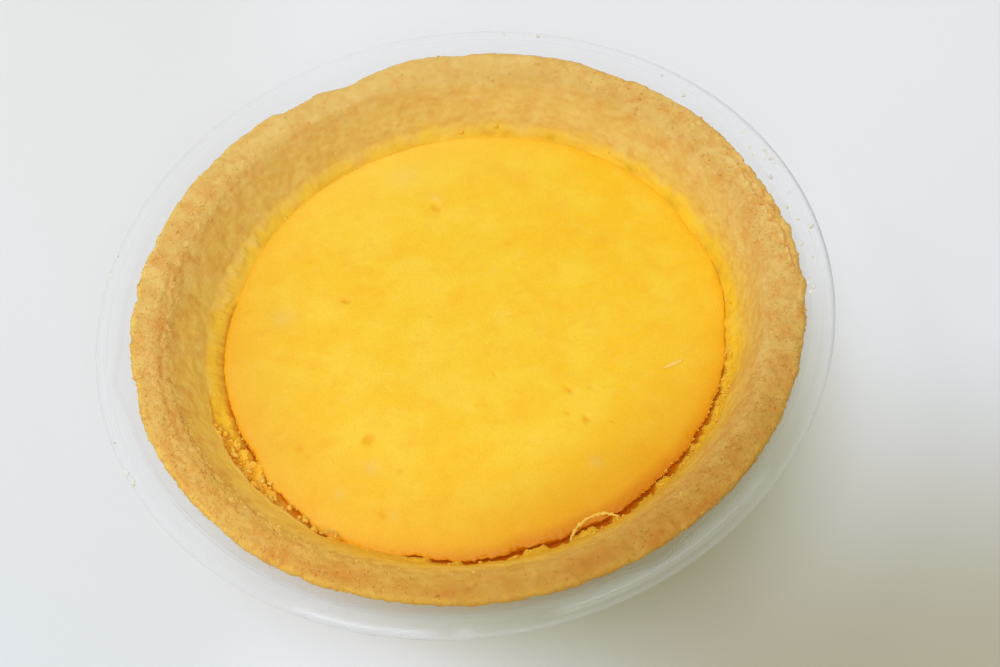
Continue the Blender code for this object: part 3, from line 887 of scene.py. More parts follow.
def crust_material():
    material = plain_material("baked_crust", GOLDEN, 0.82)
    tree = material.node_tree
    shader = tree.nodes["Principled BSDF"]
    place = node(tree, "TexCoord").outputs["Object"]
    wall = mark(tree, "wall")
    rimmed = sums(tree, "MULTIPLY_ADD", wall, -0.5, 1.0)
    smoother = sums(tree, "MULTIPLY_ADD", mark(tree, "soft"), -0.4, rimmed)
    sharp = sums(tree, "SUBTRACT", smoother, sums(tree, "MULTIPLY", mark(tree, "soft"), 0.8), clamp=True)
    colour = mixed(tree, wall, GOLDEN, KHAKI)
    # Painted light: the near wall is made lighter
    colour = mixed(tree, mark(tree, "painted_wall_light"), colour, PAINTED_LIT_KHAKI)
    for spots, where in ((DOUGH_PATCHES, smoother), (DOUGH_SPECKS, sharp)):
        for size, low, high, share, tone in spots:
            found = sums(tree, "MULTIPLY", speckle(tree, place, size, low, high, 2.0), share)
            colour = mixed(tree, sums(tree, "MULTIPLY", found, where), colour, tone)
    fringe = sums(tree, "MULTIPLY", mark(tree, "edge"), speckle(tree, place, 0.7 * MM, 0.38, 0.58))
    colour = mixed(tree, sums(tree, "MULTIPLY", fringe, 0.7), colour, EDGE_YELLOW)
    colour = mixed(tree, sums(tree, "MULTIPLY", mark(tree, "stain"), 0.96, clamp=True), colour, STAINED)
    colour = mixed(tree, mark(tree, "far_spotting"), colour, FAR_SPOT_ORANGE)
    # toast: toasted patches and streaks, and painted shade in the creases and between the flakes
    colour = mixed(tree, sums(tree, "MULTIPLY", mark(tree, "toast_and_shade"), 0.85), colour, TOAST_AND_SHADE_BROWN)
    colour = mixed(tree, mark(tree, "pale"), colour, PALE)
    # Painted shade low in the crack
    colour = mixed(tree, mark(tree, "hollow"), colour, CRACK_SHADE_BROWN)
    colour = mixed(tree, mark(tree, "warm"), colour, WARM_TINT, "MULTIPLY")
    shade = sums(tree, "MULTIPLY", mark(tree, "shade"), smoother)
    colour = mixed(tree, shade, colour, SHADE_TINT, "MULTIPLY")
    colour = mixed(tree, mark(tree, "crumb"), colour, CRUMB_YELLOW)
    # Painted shade between and under the crumbs
    colour = mixed(tree, mark(tree, "under"), colour, CRUMB_SHADE_ORANGE)
    tree.links.new(colour, shader.inputs["Base Color"])
    through = DARK
    for label, tone in PAINTED_GLOW.items():
        through = mixed(tree, mark(tree, label), through, tone)
    glow(tree, through)
    shader.inputs["Specular IOR Level"].default_value = 0.25
    sandy_bump(tree, place, 0.28 * MM, sums(tree, "MULTIPLY", sharp, 0.6), 0.15 * MM)
    return material


# %% Make the crust
crust_points, crust_marks, crust_ledge = crust_grid()
crust_finish = crust_material()
crust = closed_skin("crust_baked", crust_points, crust_finish, **crust_marks)
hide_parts("crust")

# %% [markdown]
# ## Filling
#
# The filling set as it baked: a smooth skin, domed a little, that rounds down to the crust. Seen close it has
# slow waves, a few burst bubbles and a fine grain. Its edge follows the crack's list of openings.

# %% Shape of the filling
FILLING_COLUMNS = 900
EDGE_DROP = 0.45 * MM
# Rows of the top, as shares of the way out: even at first, then closer and closer towards the edge
CLOSER = np.sin(np.linspace(0.0, math.pi / 2, 34))[1:]
TOP_SHARES = np.concatenate([np.linspace(0.0, 0.86, 64), 0.86 + 0.14 * CLOSER])
SIDE_DEPTHS = np.array([0.25, 0.6, 1.1, 1.7, 2.6]) * MM  # of the side's rows, below the edge
# Stretches of the edge, as azimuth of the middle and half width in degrees
CRUMBLY_EDGE = (-85.0, 90.0)
# The edge is browned more at the near side, which is partly painted shade
BROWNED_AND_SHADED_NEAR, BROWNED_FAR = (-70.0, 95.0), (70.0, 80.0)
DEEP_RIGHT, DEEP_LEFT, DEEP_RING = (-65.0, 75.0), (-168.0, 80.0), (-62.0, 60.0)
LIGHT_FAR = (105.0, 60.0)
# Spots on the top: x, y, radius, depth (mm) and tint, above 0 orange and below 0 pale. The orange is partly
# painted shade in the pits, and the small pale spots on the rims of pits are painted highlights.
SPOTS = (
    (-13.6, 6.2, 0.45, 0.30, 1.8), (-12.6, -12.9, 0.50, 0.35, 1.6), (-12.4, -12.5, 0.25, 0.10, 0.8),
    (-1.8, 17.9, 0.55, 0.26, 1.6), (-1.8, 19.1, 0.60, -0.04, -0.9), (10.1, -10.6, 0.40, 0.30, 1.2),
    (10.45, -11.0, 0.25, -0.05, -0.8), (12.2, -10.5, 0.30, 0.06, 0.5), (11.3, -14.5, 0.38, 0.34, 1.7),
    (11.0, -15.0, 0.22, 0.20, 1.4), (11.6, -14.1, 0.20, -0.05, -0.8), (9.3, -13.5, 0.26, 0.16, 1.2),
    (-12.7, -16.6, 0.90, 0.05, -0.6), (-11.8, -22.3, 0.50, 0.10, 1.0), (-11.0, -22.6, 0.60, 0.0, -0.5),
    (-20.2, -12.4, 0.50, 0.08, 1.4), (-19.5, -13.7, 0.35, 0.06, 0.8), (-16.5, -19.1, 0.70, 0.05, -0.6),
    (-21.0, 5.3, 1.50, 0.04, -0.6), (11.5, -20.1, 0.70, -0.05, -0.8), (8.5, 20.7, 1.50, 0.06, 0.8),
    (12.5, 15.3, 1.2, 0.03, 0.6), (16.9, 9.4, 1.0, 0.03, 0.6), (-5.1, 23.6, 1.8, -0.03, -0.6),
    (-4.2, 2.2, 0.30, 0.10, 0.8), (4.6, 0.5, 0.25, 0.10, 0.8), (2.0, -7.0, 0.25, 0.10, 0.8),
    (-9.5, -17.5, 0.35, 0.08, 0.9), (-17.0, 13.0, 0.6, 0.04, 0.6), (6.0, 11.0, 0.5, 0.05, 0.6),
    (20.5, 1.5, 0.5, 0.05, 0.7), (14.0, -15.4, 0.18, 0.08, 1.0),
)


def filling_top(azimuth):
    """Radius, height and tint of the top, a row for each share p of the way out to the edge. Its height is
    z = edge + EDGE_DROP * sqrt(1 - p^36) + dome * (1 - p^4), with waves, less the spots' depths."""
    out = TOP_SHARES[:, None]
    radius = WALL_AT_FILLING * out + (crack_edges(azimuth)[0] - WALL_AT_FILLING) * ease((out - 0.7) / 0.3)
    crown = EDGE_DROP * np.sqrt(1.0 - out**36) + (EDGE_ROUNDING + DOME - EDGE_DROP) * (1.0 - out**4)
    points = turned(radius, 0.0 * radius, azimuth)
    crumbly = 0.35 + 0.65 * hump(azimuth, *CRUMBLY_EDGE)
    ragged = 0.20 * rough(points, 0.9 * MM, 117, 3) + 0.13 * lumps(points, 0.45 * MM, 118)
    waves = 0.16 * lumps(points, 13.0 * MM, 57) + 0.05 * rough(points, 4.0 * MM, 101, 3)
    waves = waves + 0.012 * rough(points, 0.5 * MM, 103, 2)
    sunk, tint = 0.0, 0.0 * radius
    for x, y, size, depth, orange in SPOTS:
        away = ((points[..., 0] / MM - x) ** 2 + (points[..., 1] / MM - y) ** 2) / size**2
        sunk = sunk + depth * bell(away)
        tint = tint + orange * np.exp(-away)
    torn = 0.08 * crumbly * crumbs(points, 0.7 * MM, 119)[0] * ease((out - 0.95) / 0.05)
    height = FILLING_EDGE_Z + crown + (waves * ease((1.0 - out) / 0.05) - sunk + torn) * MM
    height[0] = height[0].mean()
    return radius + crumbly * ragged * MM * ease((out - 0.93) / 0.07), height, tint


def filling_grid():
    """Rows run from the middle of the top out to the edge, down the side and back underneath. The side is
    drawn in at the crack, and follows the crust's wall below it."""
    azimuth = all_round(FILLING_COLUMNS)[None, :]
    top, top_z, tint = filling_top(azimuth)
    level = 0.0 * azimuth
    down = SIDE_DEPTHS[:, None]
    in_crack = 1.0 - ease(down / CRACK_DEPTH - 0.2)
    side = WALL_AT_FILLING - FLARE * down + (top[-1:] - WALL_AT_FILLING) * in_crack
    side_z = FILLING_EDGE_Z - down + level
    side = side + 0.12 * MM * rough(turned(side, side_z, azimuth), 0.8 * MM, 121, 3)
    foot_z = CRUST_BASE_Z + FLOOR_THICKNESS
    foot = WALL_AT_FILLING - FLARE * (FILLING_EDGE_Z - foot_z)
    radius = np.concatenate([top, side, foot + level, level])
    height = np.concatenate([top_z, side_z, foot_z + level, foot_z + level])
    below = np.concatenate([0.0 * TOP_SHARES[:, None], ease(down / MM), [[1.0]], [[1.0]]])
    marks = filling_marks_at(azimuth, np.concatenate([TOP_SHARES, np.ones(len(radius) - len(top))])[:, None])
    # below: painted shade on the filling's side, down in the crack
    marks["below"] = below * (1.0 - 0.35 * hump(azimuth, *SHALLOW_CRACK))
    marks["tint"] = np.concatenate([tint, 0.0 * radius[len(top):]])
    return turned(radius, height, azimuth, TART_X), marks


def filling_marks_at(azimuth, share):
    """Browned at the edge, more at the near side, where the orange is partly painted shade; in deeper
    painted shade at the near side and the left; and lighter at the far edge.
    """
    browned_and_shaded = 0.30 + 0.66 * hump(azimuth, *BROWNED_AND_SHADED_NEAR) - 0.08 * hump(azimuth, *BROWNED_FAR)
    deep = 0.70 * hump(azimuth, *DEEP_RIGHT) + 0.46 * hump(azimuth, *DEEP_LEFT)
    deep = deep * ease((share - 0.55) / 0.45) + 0.4 * hump(azimuth, *DEEP_RING) * ease((share - 0.93) / 0.06)
    return dict(
        ripe_and_shade=browned_and_shaded * (0.5 * share**6 + 0.85 * share**22),
        deep=deep,
        light=0.7 * hump(azimuth, *LIGHT_FAR) * share**4,
    )


# %% Filling material
YELLOW = (0.965, 0.575, 0.016)
LIGHT_YELLOW = (0.97, 0.63, 0.034)
ORANGE = (0.93, 0.42, 0.010)
PALE_YELLOW = (0.97, 0.65, 0.08)
DEEP_TINT = (0.74, 0.57, 0.08)
# Painted shade on the filling's side in the crack
FILLING_SIDE_SHADE = (0.95, 0.42, 0.005)
# Size, from and to value of the noise, strength and colour of the patches and the grain
CHEESE_SPOTS = (
    (7.0 * MM, 0.38, 0.66, 1.0, LIGHT_YELLOW), (2.6 * MM, 0.48, 0.72, 0.25, ORANGE),
    (1.6 * MM, 0.52, 0.75, 0.3, PALE_YELLOW), (0.4 * MM, 0.52, 0.70, 0.25, ORANGE),
)


def filling_material():
    material = plain_material("cheese_filling", YELLOW, 0.5)
    tree = material.node_tree
    shader = tree.nodes["Principled BSDF"]
    place = node(tree, "TexCoord").outputs["Object"]
    colour = YELLOW
    for size, low, high, share, tone in CHEESE_SPOTS:
        found = sums(tree, "MULTIPLY", speckle(tree, place, size, low, high), share)
        colour = mixed(tree, found, colour, tone)
    # Browned edge, partly painted shade at the near side
    colour = mixed(tree, mark(tree, "ripe_and_shade"), colour, ORANGE)
    tint = mark(tree, "tint")
    colour = mixed(tree, sums(tree, "MULTIPLY", tint, 0.55, clamp=True), colour, ORANGE)
    colour = mixed(tree, sums(tree, "MULTIPLY", tint, -0.5, clamp=True), colour, PALE)
    colour = mixed(tree, mark(tree, "light"), colour, PALE_YELLOW)
    colour = mixed(tree, mark(tree, "deep"), colour, DEEP_TINT, "MULTIPLY")
    # Painted shade on the filling's side in the crack
    colour = mixed(tree, mark(tree, "below"), colour, FILLING_SIDE_SHADE)
    tree.links.new(colour, shader.inputs["Base Color"])
    # Painted light: the filling's side in the crack glows faintly
    glow(tree, mixed(tree, mark(tree, "below"), DARK, CRACK_GLOW))
    shader.inputs["Specular IOR Level"].default_value = 0.25
    sandy_bump(tree, place, 0.35 * MM, 0.7, 0.07 * MM)
    return material


# %% Make the filling
filling_points, filling_marks = filling_grid()
filling = closed_skin("filling_baked", filling_points, filling_material(), **filling_marks)
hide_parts("filling")

# %% [markdown]
# ## Tray
#
# The tray is thermoformed from clear sheet, so it is one thin skin of even thickness: base, flared wall, a
# short upright neck and a stepped flange. The upper surface is a profile, and the lower one is the same
# profile moved along its normals by the sheet's thickness.

# %% Shape of the tray
TRAY_COLUMNS = 540
LUG_AZIMUTHS = (-175.0, -65.0, 60.0)
LUG_HALF_WIDTH = 7.5  # degrees
LUG_DEPTH = 0.8 * MM
# Stretches of the flange, as azimuth of the middle and half width in degrees
# Where the painted dark lines of the edge and the mouth are strongest
DARK_EDGE, DARK_MOUTH = (0.0, 70.0), (8.0, 24.0)
FAINT_FAR, FAINT_RIGHT = (100.0, 110.0), (-32.0, 40.0)
# Painted glints, milky streaks of light reflected by the flange: from azimuth, to azimuth, radius and half
# width (mm), strength
GLINTS = ((-124.0, -98.0, 40.6, 0.45, 0.7), (-99.0, -93.0, 40.6, 0.45, 0.7), (-85.0, -40.0, 40.0, 0.30, 0.22))


def rounded(corners, radius, steps=6):
    """The polyline through the corners with each inner one replaced by an arc, drawn as the quadratic
    curve that touches both its sides."""
    corners = np.asarray(corners, float)
    made = [corners[:1]]
    t = np.linspace(0.0, 1.0, steps + 1)[:, None]
    for before, corner, after in zip(corners, corners[1:], corners[2:]):
        back, on = before - corner, after - corner
        reach = min(radius, 0.45 * np.hypot(*back), 0.45 * np.hypot(*on))
        start, stop = corner + back / np.hypot(*back) * reach, corner + on / np.hypot(*on) * reach
        made.append((1 - t) ** 2 * start + 2 * t * (1 - t) * corner + t**2 * stop)
    made.append(corners[-1:])
    return np.concatenate(made)


def tray_profile():
    """(radius, height) of the tray's upper surface, from the middle of its base out to the cut edge."""
    neck_z = FLANGE_Z - NECK_DEPTH
    lip_z = FLANGE_Z - STEP_DROP
    corners = [(0.0, SHEET), (TRAY_BASE_RADIUS, SHEET), (MOUTH_RADIUS, neck_z), (MOUTH_RADIUS, FLANGE_Z),
               (STEP_RADIUS, FLANGE_Z), (STEP_RADIUS + 0.2 * MM, lip_z), (LIP_RADIUS, lip_z)]
    return rounded(corners, 0.6 * MM)


def tray_grid():
    """Upper surface out to the cut edge, then the lower surface back: upper less normal times thickness. The
    marks are for the cut edge and the mouth's rim, painted as dark lines, for the painted glints, and for
    where the sheet hardly shows."""
    upper = tray_profile()
    normal = outward(upper)
    lower = (upper - normal * SHEET)[::-1]
    middle = (upper[-1] + lower[0]) / 2 + np.array([0.06 * MM, 0.0])
    profile = np.concatenate([upper, middle[None], lower])
    azimuth, radius, height = carried_round(profile, TRAY_COLUMNS)
    on_neck = ease((height - FLANGE_Z + 2.4 * MM) / (0.8 * MM)) * ease((STEP_RADIUS - radius) / (1.2 * MM))
    lugs = sum(hump(azimuth, centre, LUG_HALF_WIDTH) for centre in LUG_AZIMUTHS)
    radius = radius + LUG_DEPTH * lugs * on_neck
    # The cut edge and the mouth's rim are painted as dark lines, darker at the right, for the light a clear
    # edge bends
    cut_edge = ease((radius - LIP_RADIUS + 0.10 * MM) / (0.06 * MM))
    cut_edge = cut_edge * (0.25 + 0.75 * hump(azimuth, *DARK_EDGE))
    mouth = bell((radius / MM - 38.4) / 0.12) * (height > FLANGE_Z - 0.4 * MM)
    glint = sum(share * ease(azimuth_window(azimuth, start, stop) / 6.0) * bell((radius / MM - r) / wide)
                for start, stop, r, wide, share in GLINTS)
    faint = 0.65 * hump(azimuth, *FAINT_FAR) + 0.45 * hump(azimuth, *FAINT_RIGHT) + 0.0 * radius
    cut_edge = cut_edge + 0.5 * hump(azimuth, *DARK_MOUTH) * mouth
    return turned(radius, height, azimuth), dict(cut_edge=cut_edge, glint=glint, faint=faint)


# %% Tray material
CLEAR_GREY = (0.85, 0.86, 0.85)
# Painted dark line of the cut edge
EDGE_GREY = (0.40, 0.41, 0.40)


def tray_material():
    """See-through, more so face on than at a slant: what is seen through it doesn't shift, as thin sheet
    bends light very little."""
    material = plain_material("clear_plastic", CLEAR_GREY, 0.12)
    tree = material.node_tree
    slant = node(tree, "LayerWeight", {"Blend": 0.5}).outputs["Facing"]
    veil = sums(tree, "MULTIPLY_ADD", sums(tree, "POWER", slant, 3.0), 0.16, 0.02)
    veil = sums(tree, "MULTIPLY_ADD", mark(tree, "cut_edge"), 0.35, veil, clamp=True)
    # Painted glints: the sheet is whiter and less clear along them
    veil = sums(tree, "MULTIPLY_ADD", mark(tree, "glint"), 0.55, veil, clamp=True)
    veil = sums(tree, "MULTIPLY", veil, sums(tree, "SUBTRACT", 1.0, mark(tree, "faint")))
    shader = tree.nodes["Principled BSDF"]
    tree.links.new(mixed(tree, mark(tree, "cut_edge"), CLEAR_GREY, EDGE_GREY), shader.inputs["Base Color"])
    tree.links.new(veil, shader.inputs["Alpha"])
    return material


tray_points, tray_marks = tray_grid()
tray = closed_skin("tray_sheet", tray_points, tray_material(), **tray_marks)
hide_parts("tray")

# %% [markdown]
# ## Crumbs
#
# A press-moulded crust sheds grains of baked dough all over its rim, and coarser crumbs where the filling
# tore away from it. Noise can raise lumps, but it can't make grains that overhang and stand clear of the
# outline. So the grains are real: one small ball, bent and turned differently for each. A ball of twenty
# faces is enough, as a grain is only a few pixels wide.

# %% Scattered grains
GRAIN_SQUASH = 0.25  # share by which a grain is flattened


def pebble():
    """The 12 corners and 20 faces of a ball: the corners are (0, +-1, +-g) and its two shifts, g the golden
    ratio, and each face is three corners that lie 2 apart."""
    golden = (1.0 + 5.0**0.5) / 2.0
    signs = list(itertools.product((-1.0, 1.0), repeat=2))
    corners = np.array([np.roll((0.0, a, b * golden), shift) for shift in range(3) for a, b in signs])
    threes = np.array(list(itertools.combinations(range(12), 3)))
    sides = np.linalg.norm(corners[threes] - corners[np.roll(threes, 1, axis=1)], axis=-1)
    faces = threes[np.abs(sides - 2.0).max(1) < 1e-6]
    inward = np.linalg.det(corners[faces]) < 0.0
    faces[inward] = faces[inward, ::-1]
    return corners / np.linalg.norm(corners[0]), faces


def scattered(name, places, facing, sizes, squash, draw, material, marks, smooth=False, under=0.0):
    """One mesh of many grains. Each is the ball with its corners pushed in and out, stretched, turned by a
    random rotation, flattened by the share squash along the normal it faces, and moved to its place. The
    mark under, up to its given share, paints shade on the undersides, a darker orange than the tops."""
    ball, faces = pebble()
    turns = np.linalg.qr(draw.normal(size=(len(places), 3, 3)))[0]
    turns *= np.linalg.det(turns)[:, None, None]
    bits = ball * draw.uniform(0.6, 1.3, (len(places), len(ball), 1))
    bits = bits * draw.uniform(0.5, 1.5, (len(places), 1, 3))
    bits = np.einsum("bij,bpj->bpi", turns, bits)
    bits -= squash * np.einsum("bpi,bi->bp", bits, facing)[..., None] * facing[:, None]
    points = (places[:, None] + bits * sizes[:, None, None]).reshape(-1, 3)
    faces = (faces + len(ball) * np.arange(len(places))[:, None, None]).reshape(-1, 3)
    marks = {label: np.repeat(values, len(ball)) for label, values in marks.items()}
    marks["under"] = under * ease(0.35 - np.einsum("bpi,bi->bp", bits, facing)).ravel()
    piece = finished(name, points, faces.tolist(), material, marks, smooth)


def picked(weights, count, draw):
    """Random places on the crust, more where the weight is greater: the places, the normals and the marks."""
    chosen = draw.choice(weights.size, count, p=(weights / weights.sum()).ravel())
    row, column = np.unravel_index(chosen, weights.shape)
    corner = crust_points[row, column]
    down = crust_points[row + 1, column] - corner
    over = crust_points[row, (column + 1) % CRUST_COLUMNS] - corner
    normal = np.cross(down, over)
    normal /= np.linalg.norm(normal, axis=1, keepdims=True)
    where = corner + draw.uniform(0.0, 1.0, (count, 1)) * down + draw.uniform(0.0, 1.0, (count, 1)) * over
    return where, normal, {label: values[row, column].copy() for label, values in full_marks.items()}


full_marks = {label: np.broadcast_to(values, crust_points.shape[:2]) for label, values in crust_marks.items()}
print("a grain has", len(pebble()[1]), "faces")

# %% [markdown]
# ### Grains on the rim
#
# The rim's grains are sand-sized and sunk to about half in the dough. They take the crust's own marks, so
# that a toasted patch has toasted grains, each a little lighter or darker than its place.

# %% Grains on the rim
RIM_GRAINS = 5200


def add_rim_grains():
    draw = np.random.default_rng(11)
    where, normal, marks = picked(full_marks["rim"] ** 2 * (1.0 - full_marks["soft"]) ** 2, RIM_GRAINS, draw)
    sizes = draw.uniform(0.07, 0.15, RIM_GRAINS) * MM + 0.10 * MM * draw.uniform(0.0, 1.0, RIM_GRAINS) ** 5
    marks["toast_and_shade"] = np.clip(marks["toast_and_shade"] + draw.uniform(-0.3, 0.25, RIM_GRAINS), 0.0, 1.3)
    marks["pale"] = np.clip(marks["pale"] + draw.uniform(-0.3, 0.6, RIM_GRAINS), 0.0, 1.0)
    where = where - 0.1 * sizes[:, None] * normal
    scattered("rim_grains", where, normal, sizes, GRAIN_SQUASH, draw, crust_finish, marks)


add_rim_grains()

# %% [markdown]
# ### Crumbs along the crack
#
# Coarser crumbs lie on the band where the wall's skin came away. At the near left they pile up in clusters of
# five, as high as the filling. Their undersides are painted a darker orange as shade, the colour of light
# that has come through other crumbs.

# %% Crumbs along the crack
LEDGE_CRUMBS = 280
EDGE_BITS = 180  # in each of the stretches below
EDGE_BIT_STRETCHES = ((-165.0, -128.0), (-58.0, -15.0))  # from azimuth, to azimuth
CLUSTERS = 38
CLUSTER_BITS = 5
CROWDED_LEFT, CROWDED_RIGHT = (-148.0, 20.0), (-50.0, 70.0)  # azimuth of the middle and half width in degrees
CLUSTERED = (-148.0, 19.0)


def edge_bits(draw):
    """Places along both sides of the crack, level with the filling's edge."""
    azimuth = np.concatenate([draw.uniform(start, stop, EDGE_BITS) for start, stop in EDGE_BIT_STRETCHES])
    filling_side, crust_side = crack_edges(azimuth)
    radius = np.where(draw.uniform(size=len(azimuth)) < 0.5, filling_side, crust_side)
    radius = radius + draw.normal(0.0, 0.07 * MM, len(azimuth))
    return turned(radius, FILLING_EDGE_Z + draw.uniform(-0.1, 0.35, len(azimuth)) * MM, azimuth, TART_X)


def add_ledge_crumbs():
    """Single crumbs all over the band, then clusters of crumbs round a heart each, then bits at the crack."""
    draw = np.random.default_rng(12)
    azimuth = all_round(CRUST_COLUMNS)
    crowded = 0.02 + 0.5 * hump(azimuth, *CROWDED_LEFT) ** 0.5 + 0.2 * hump(azimuth, *CROWDED_RIGHT)
    where, normal, marks = picked(crust_ledge * crowded, LEDGE_CRUMBS, draw)
    sizes = draw.uniform(0.10, 0.28, LEDGE_CRUMBS) * MM

    heart, slope, heart_marks = picked(crust_ledge * hump(azimuth, *CLUSTERED) ** 0.4, CLUSTERS, draw)
    many = np.repeat(np.arange(CLUSTERS), CLUSTER_BITS)
    heaped = heart[many] + draw.normal(0.0, 0.26 * MM, (len(many), 3)) * (1.0, 1.0, 0.5)
    heaped += slope[many] * draw.uniform(0.0, 0.35 * MM, (len(many), 1))
    edging = edge_bits(draw)
    loose = len(edging)

    where = np.concatenate([where + 0.2 * sizes[:, None] * normal, heaped, edging])
    normal = np.concatenate([normal, slope[many], np.broadcast_to((0.0, 0.0, 1.0), (loose, 3))])
    heaped_sizes = (0.16 + 0.34 * draw.uniform(0.0, 1.0, len(many)) ** 1.4) * MM
    sizes = np.concatenate([sizes, heaped_sizes, draw.uniform(0.05, 0.12, loose) * MM])
    marks = {label: np.concatenate([values, heart_marks[label][many], np.zeros(loose)])
             for label, values in marks.items()}
    marks["hollow"] = 0.0 * sizes
    marks["stain"][-loose:] = 0.8
    marks["toast_and_shade"] = 0.3 * marks["toast_and_shade"] + 0.3 * draw.uniform(0.0, 1.0, len(sizes)) ** 3
    groups = ((0.0, 0.8, LEDGE_CRUMBS), (0.2, 1.0, len(many)), (0.0, 0.5, loose))
    marks["crumb"] = np.concatenate([draw.uniform(*group) for group in groups])
    scattered("ledge_crumbs", where, normal, sizes, GRAIN_SQUASH, draw, crust_finish, marks, True, 0.9)


add_ledge_crumbs()

# %% [markdown]
# ### Strands across the crack
#
# A few strands of dough still reach from the crust to the filling. A Curve with a bevel would give an even
# tube. Rings on a grid can taper to points and wobble as torn dough does.

# %% Strands across the crack
STRAND_RINGS, STRAND_SIDES = 70, 12
# Azimuth, radius (mm) and height above the filling's edge (mm) along each strand, and its half width (mm)
STRANDS = (
    (((-76.2, 30.3, 1.2), (-74.6, 29.0, 0.5), (-72.8, 28.35, 0.35), (-70.5, 28.0, 0.4), (-67.8, 28.1, 0.4),
      (-66.2, 28.4, 0.4), (-65.2, 29.1, 0.6), (-64.6, 30.2, 1.2)), 0.21),
    (((-127.8, 30.7, 2.2), (-127.0, 29.6, 1.0), (-126.2, 29.0, 0.5)), 0.17),
    (((-124.6, 30.4, 1.9), (-125.6, 29.4, 0.9), (-126.6, 29.1, 0.5)), 0.13),
)


def smooth_line(places):
    """The line through the places, cut into equal steps, with its corners rounded off by averaging."""
    walked = np.concatenate([[0.0], np.cumsum(np.linalg.norm(np.diff(places, axis=0), axis=1))])
    at = np.linspace(0.0, walked[-1], STRAND_RINGS)
    line = np.stack([np.interp(at, walked, places[:, k]) for k in range(3)], -1)
    for _ in range(30):
        line[1:-1] += 0.5 * ((line[2:] + line[:-2]) / 2 - line[1:-1])
    return line


def add_strands():
    """Flat rings round each line, with the radius growing from each end as the square root of
    sin(pi * share), and roughened."""
    turn = np.linspace(0.0, 2.0 * math.pi, STRAND_SIDES, endpoint=False)[None, :, None]
    share = np.linspace(0.0, 1.0, STRAND_RINGS)[:, None, None]
    for number, (places, half_width) in enumerate(STRANDS):
        azimuth, radius, rise = np.array(places).T
        line = smooth_line(turned(radius * MM, FILLING_EDGE_Z + rise * MM, azimuth, TART_X))
        along = np.gradient(line, axis=0)
        side = np.cross(along, (0.0, 0.0, 1.0))
        side /= np.linalg.norm(side, axis=1, keepdims=True)
        upward = np.cross(side, along / np.linalg.norm(along, axis=1, keepdims=True))
        swell = half_width * MM * np.sqrt(np.sin(math.pi * share).clip(0.0))
        ring = side[:, None] * np.cos(turn) + 0.7 * upward[:, None] * np.sin(turn)
        grid = line[:, None] + swell * ring
        grid += swell * ring * 1.2 * rough(grid, 0.4 * MM, 151 + number, 3)[..., None]
        piece = closed_skin(f"strand_{number + 1}", grid, crust_finish, stain=0.7, crumb=0.45, pale=0.25)


add_strands()

# %% [markdown]
# ### Loose crumbs on the flange
#
# About thirty crumbs have fallen on the flange. The photo shows where each of them lies, so they are a list.

# %% Loose crumbs on the flange
LOOSE_CREAM = (0.80, 0.78, 0.62)
# Azimuth, radius and half width (mm)
LOOSE_CRUMBS = (
    (4.5, 40.2, 0.26), (6.0, 39.0, 0.18), (1.0, 38.4, 0.22), (9.0, 38.4, 0.20), (16.0, 38.5, 0.22),
    (18.5, 39.9, 0.20), (19.5, 39.95, 0.22), (20.5, 39.85, 0.20), (21.5, 39.9, 0.18), (20.0, 39.2, 0.18),
    (22.0, 38.5, 0.20), (23.5, 38.8, 0.16), (27.0, 39.5, 0.20), (40.0, 38.5, 0.22), (46.0, 39.6, 0.16),
    (70.0, 40.6, 0.18), (76.0, 40.5, 0.16), (-9.0, 38.5, 0.20), (-8.0, 38.9, 0.16), (-7.2, 38.4, 0.22),
    (-6.2, 38.6, 0.18), (-157.5, 40.9, 0.24), (-155.0, 41.0, 0.26), (-163.5, 40.8, 0.15),
    (160.0, 40.9, 0.18), (164.0, 40.9, 0.16), (-155.6, 40.7, 0.14), (12.0, 39.4, 0.13), (-2.0, 39.3, 0.14),
)


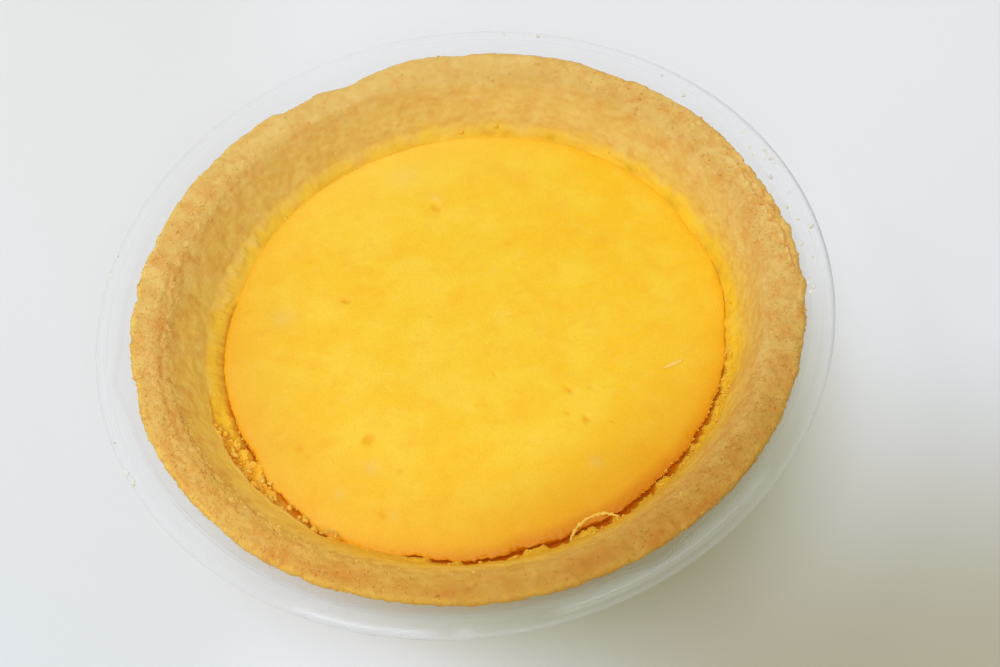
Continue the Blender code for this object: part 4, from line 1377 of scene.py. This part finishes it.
def add_loose_crumbs():
    """Each crumb stands on the flange's upper or lower level."""
    draw = np.random.default_rng(13)
    azimuth, radius, size = np.array(LOOSE_CRUMBS).T
    level = FLANGE_Z - STEP_DROP * (radius * MM > STEP_RADIUS)
    where = turned(radius * MM, level + 0.7 * size * MM, azimuth)
    upward = np.broadcast_to((0.0, 0.0, 1.0), where.shape)
    material = plain_material("loose_crumb", LOOSE_CREAM, 0.85)
    scattered("loose_crumbs", where, upward, 1.3 * size * MM, 0.3, draw, material, {})


add_loose_crumbs()

# %% [markdown]
# ### Splinter on the filling
#
# One thin flake of crust lies on the filling at the right. It is a grid surface too: a flat spindle, whose
# rows are ovals from one tip to the other.

# %% Splinter on the filling
SPLINTER = ((21.0, -9.5), (23.4, -8.6))  # the tips (mm)
SPLINTER_HALF_WIDTH, SPLINTER_HALF_HEIGHT = 0.26, 0.07  # mm
SPLINTER_YELLOW = (0.94, 0.60, 0.10)


def add_splinter():
    """Ovals v a cos t + z b sin t round points of the line between the tips, with v level and square to the
    line and a, b growing as the square root of sin(pi * share^1.3)."""
    share = np.linspace(0.0, 1.0, 26)[:, None, None]
    around_it = np.linspace(0.0, 2.0 * math.pi, 16, endpoint=False)[None, :, None]
    tips = np.array([(*tip, 0.0) for tip in SPLINTER]) * MM
    top = filling_points[: len(TOP_SHARES)].reshape(-1, 3)
    for tip in tips:
        tip[2] = top[np.argmin(((top[:, :2] - tip[:2]) ** 2).sum(-1)), 2] + 0.05 * MM
    line = tips[0] + (tips[1] - tips[0]) * share
    side = np.cross(tips[1] - tips[0], (0.0, 0.0, 1.0))
    side /= np.linalg.norm(side)
    swell = np.sqrt(np.sin(math.pi * share**1.3).clip(0.0)) * MM
    grid = line + side * SPLINTER_HALF_WIDTH * swell * np.cos(around_it)
    grid = grid + np.array((0.0, 0.0, SPLINTER_HALF_HEIGHT)) * swell * np.sin(around_it)
    grid += 0.05 * MM * rough(grid, 0.5 * MM, 141, 3)[..., None] * side * np.sin(math.pi * share)
    piece = closed_skin("splinter", grid, plain_material("splinter", SPLINTER_YELLOW, 0.7))


add_splinter()
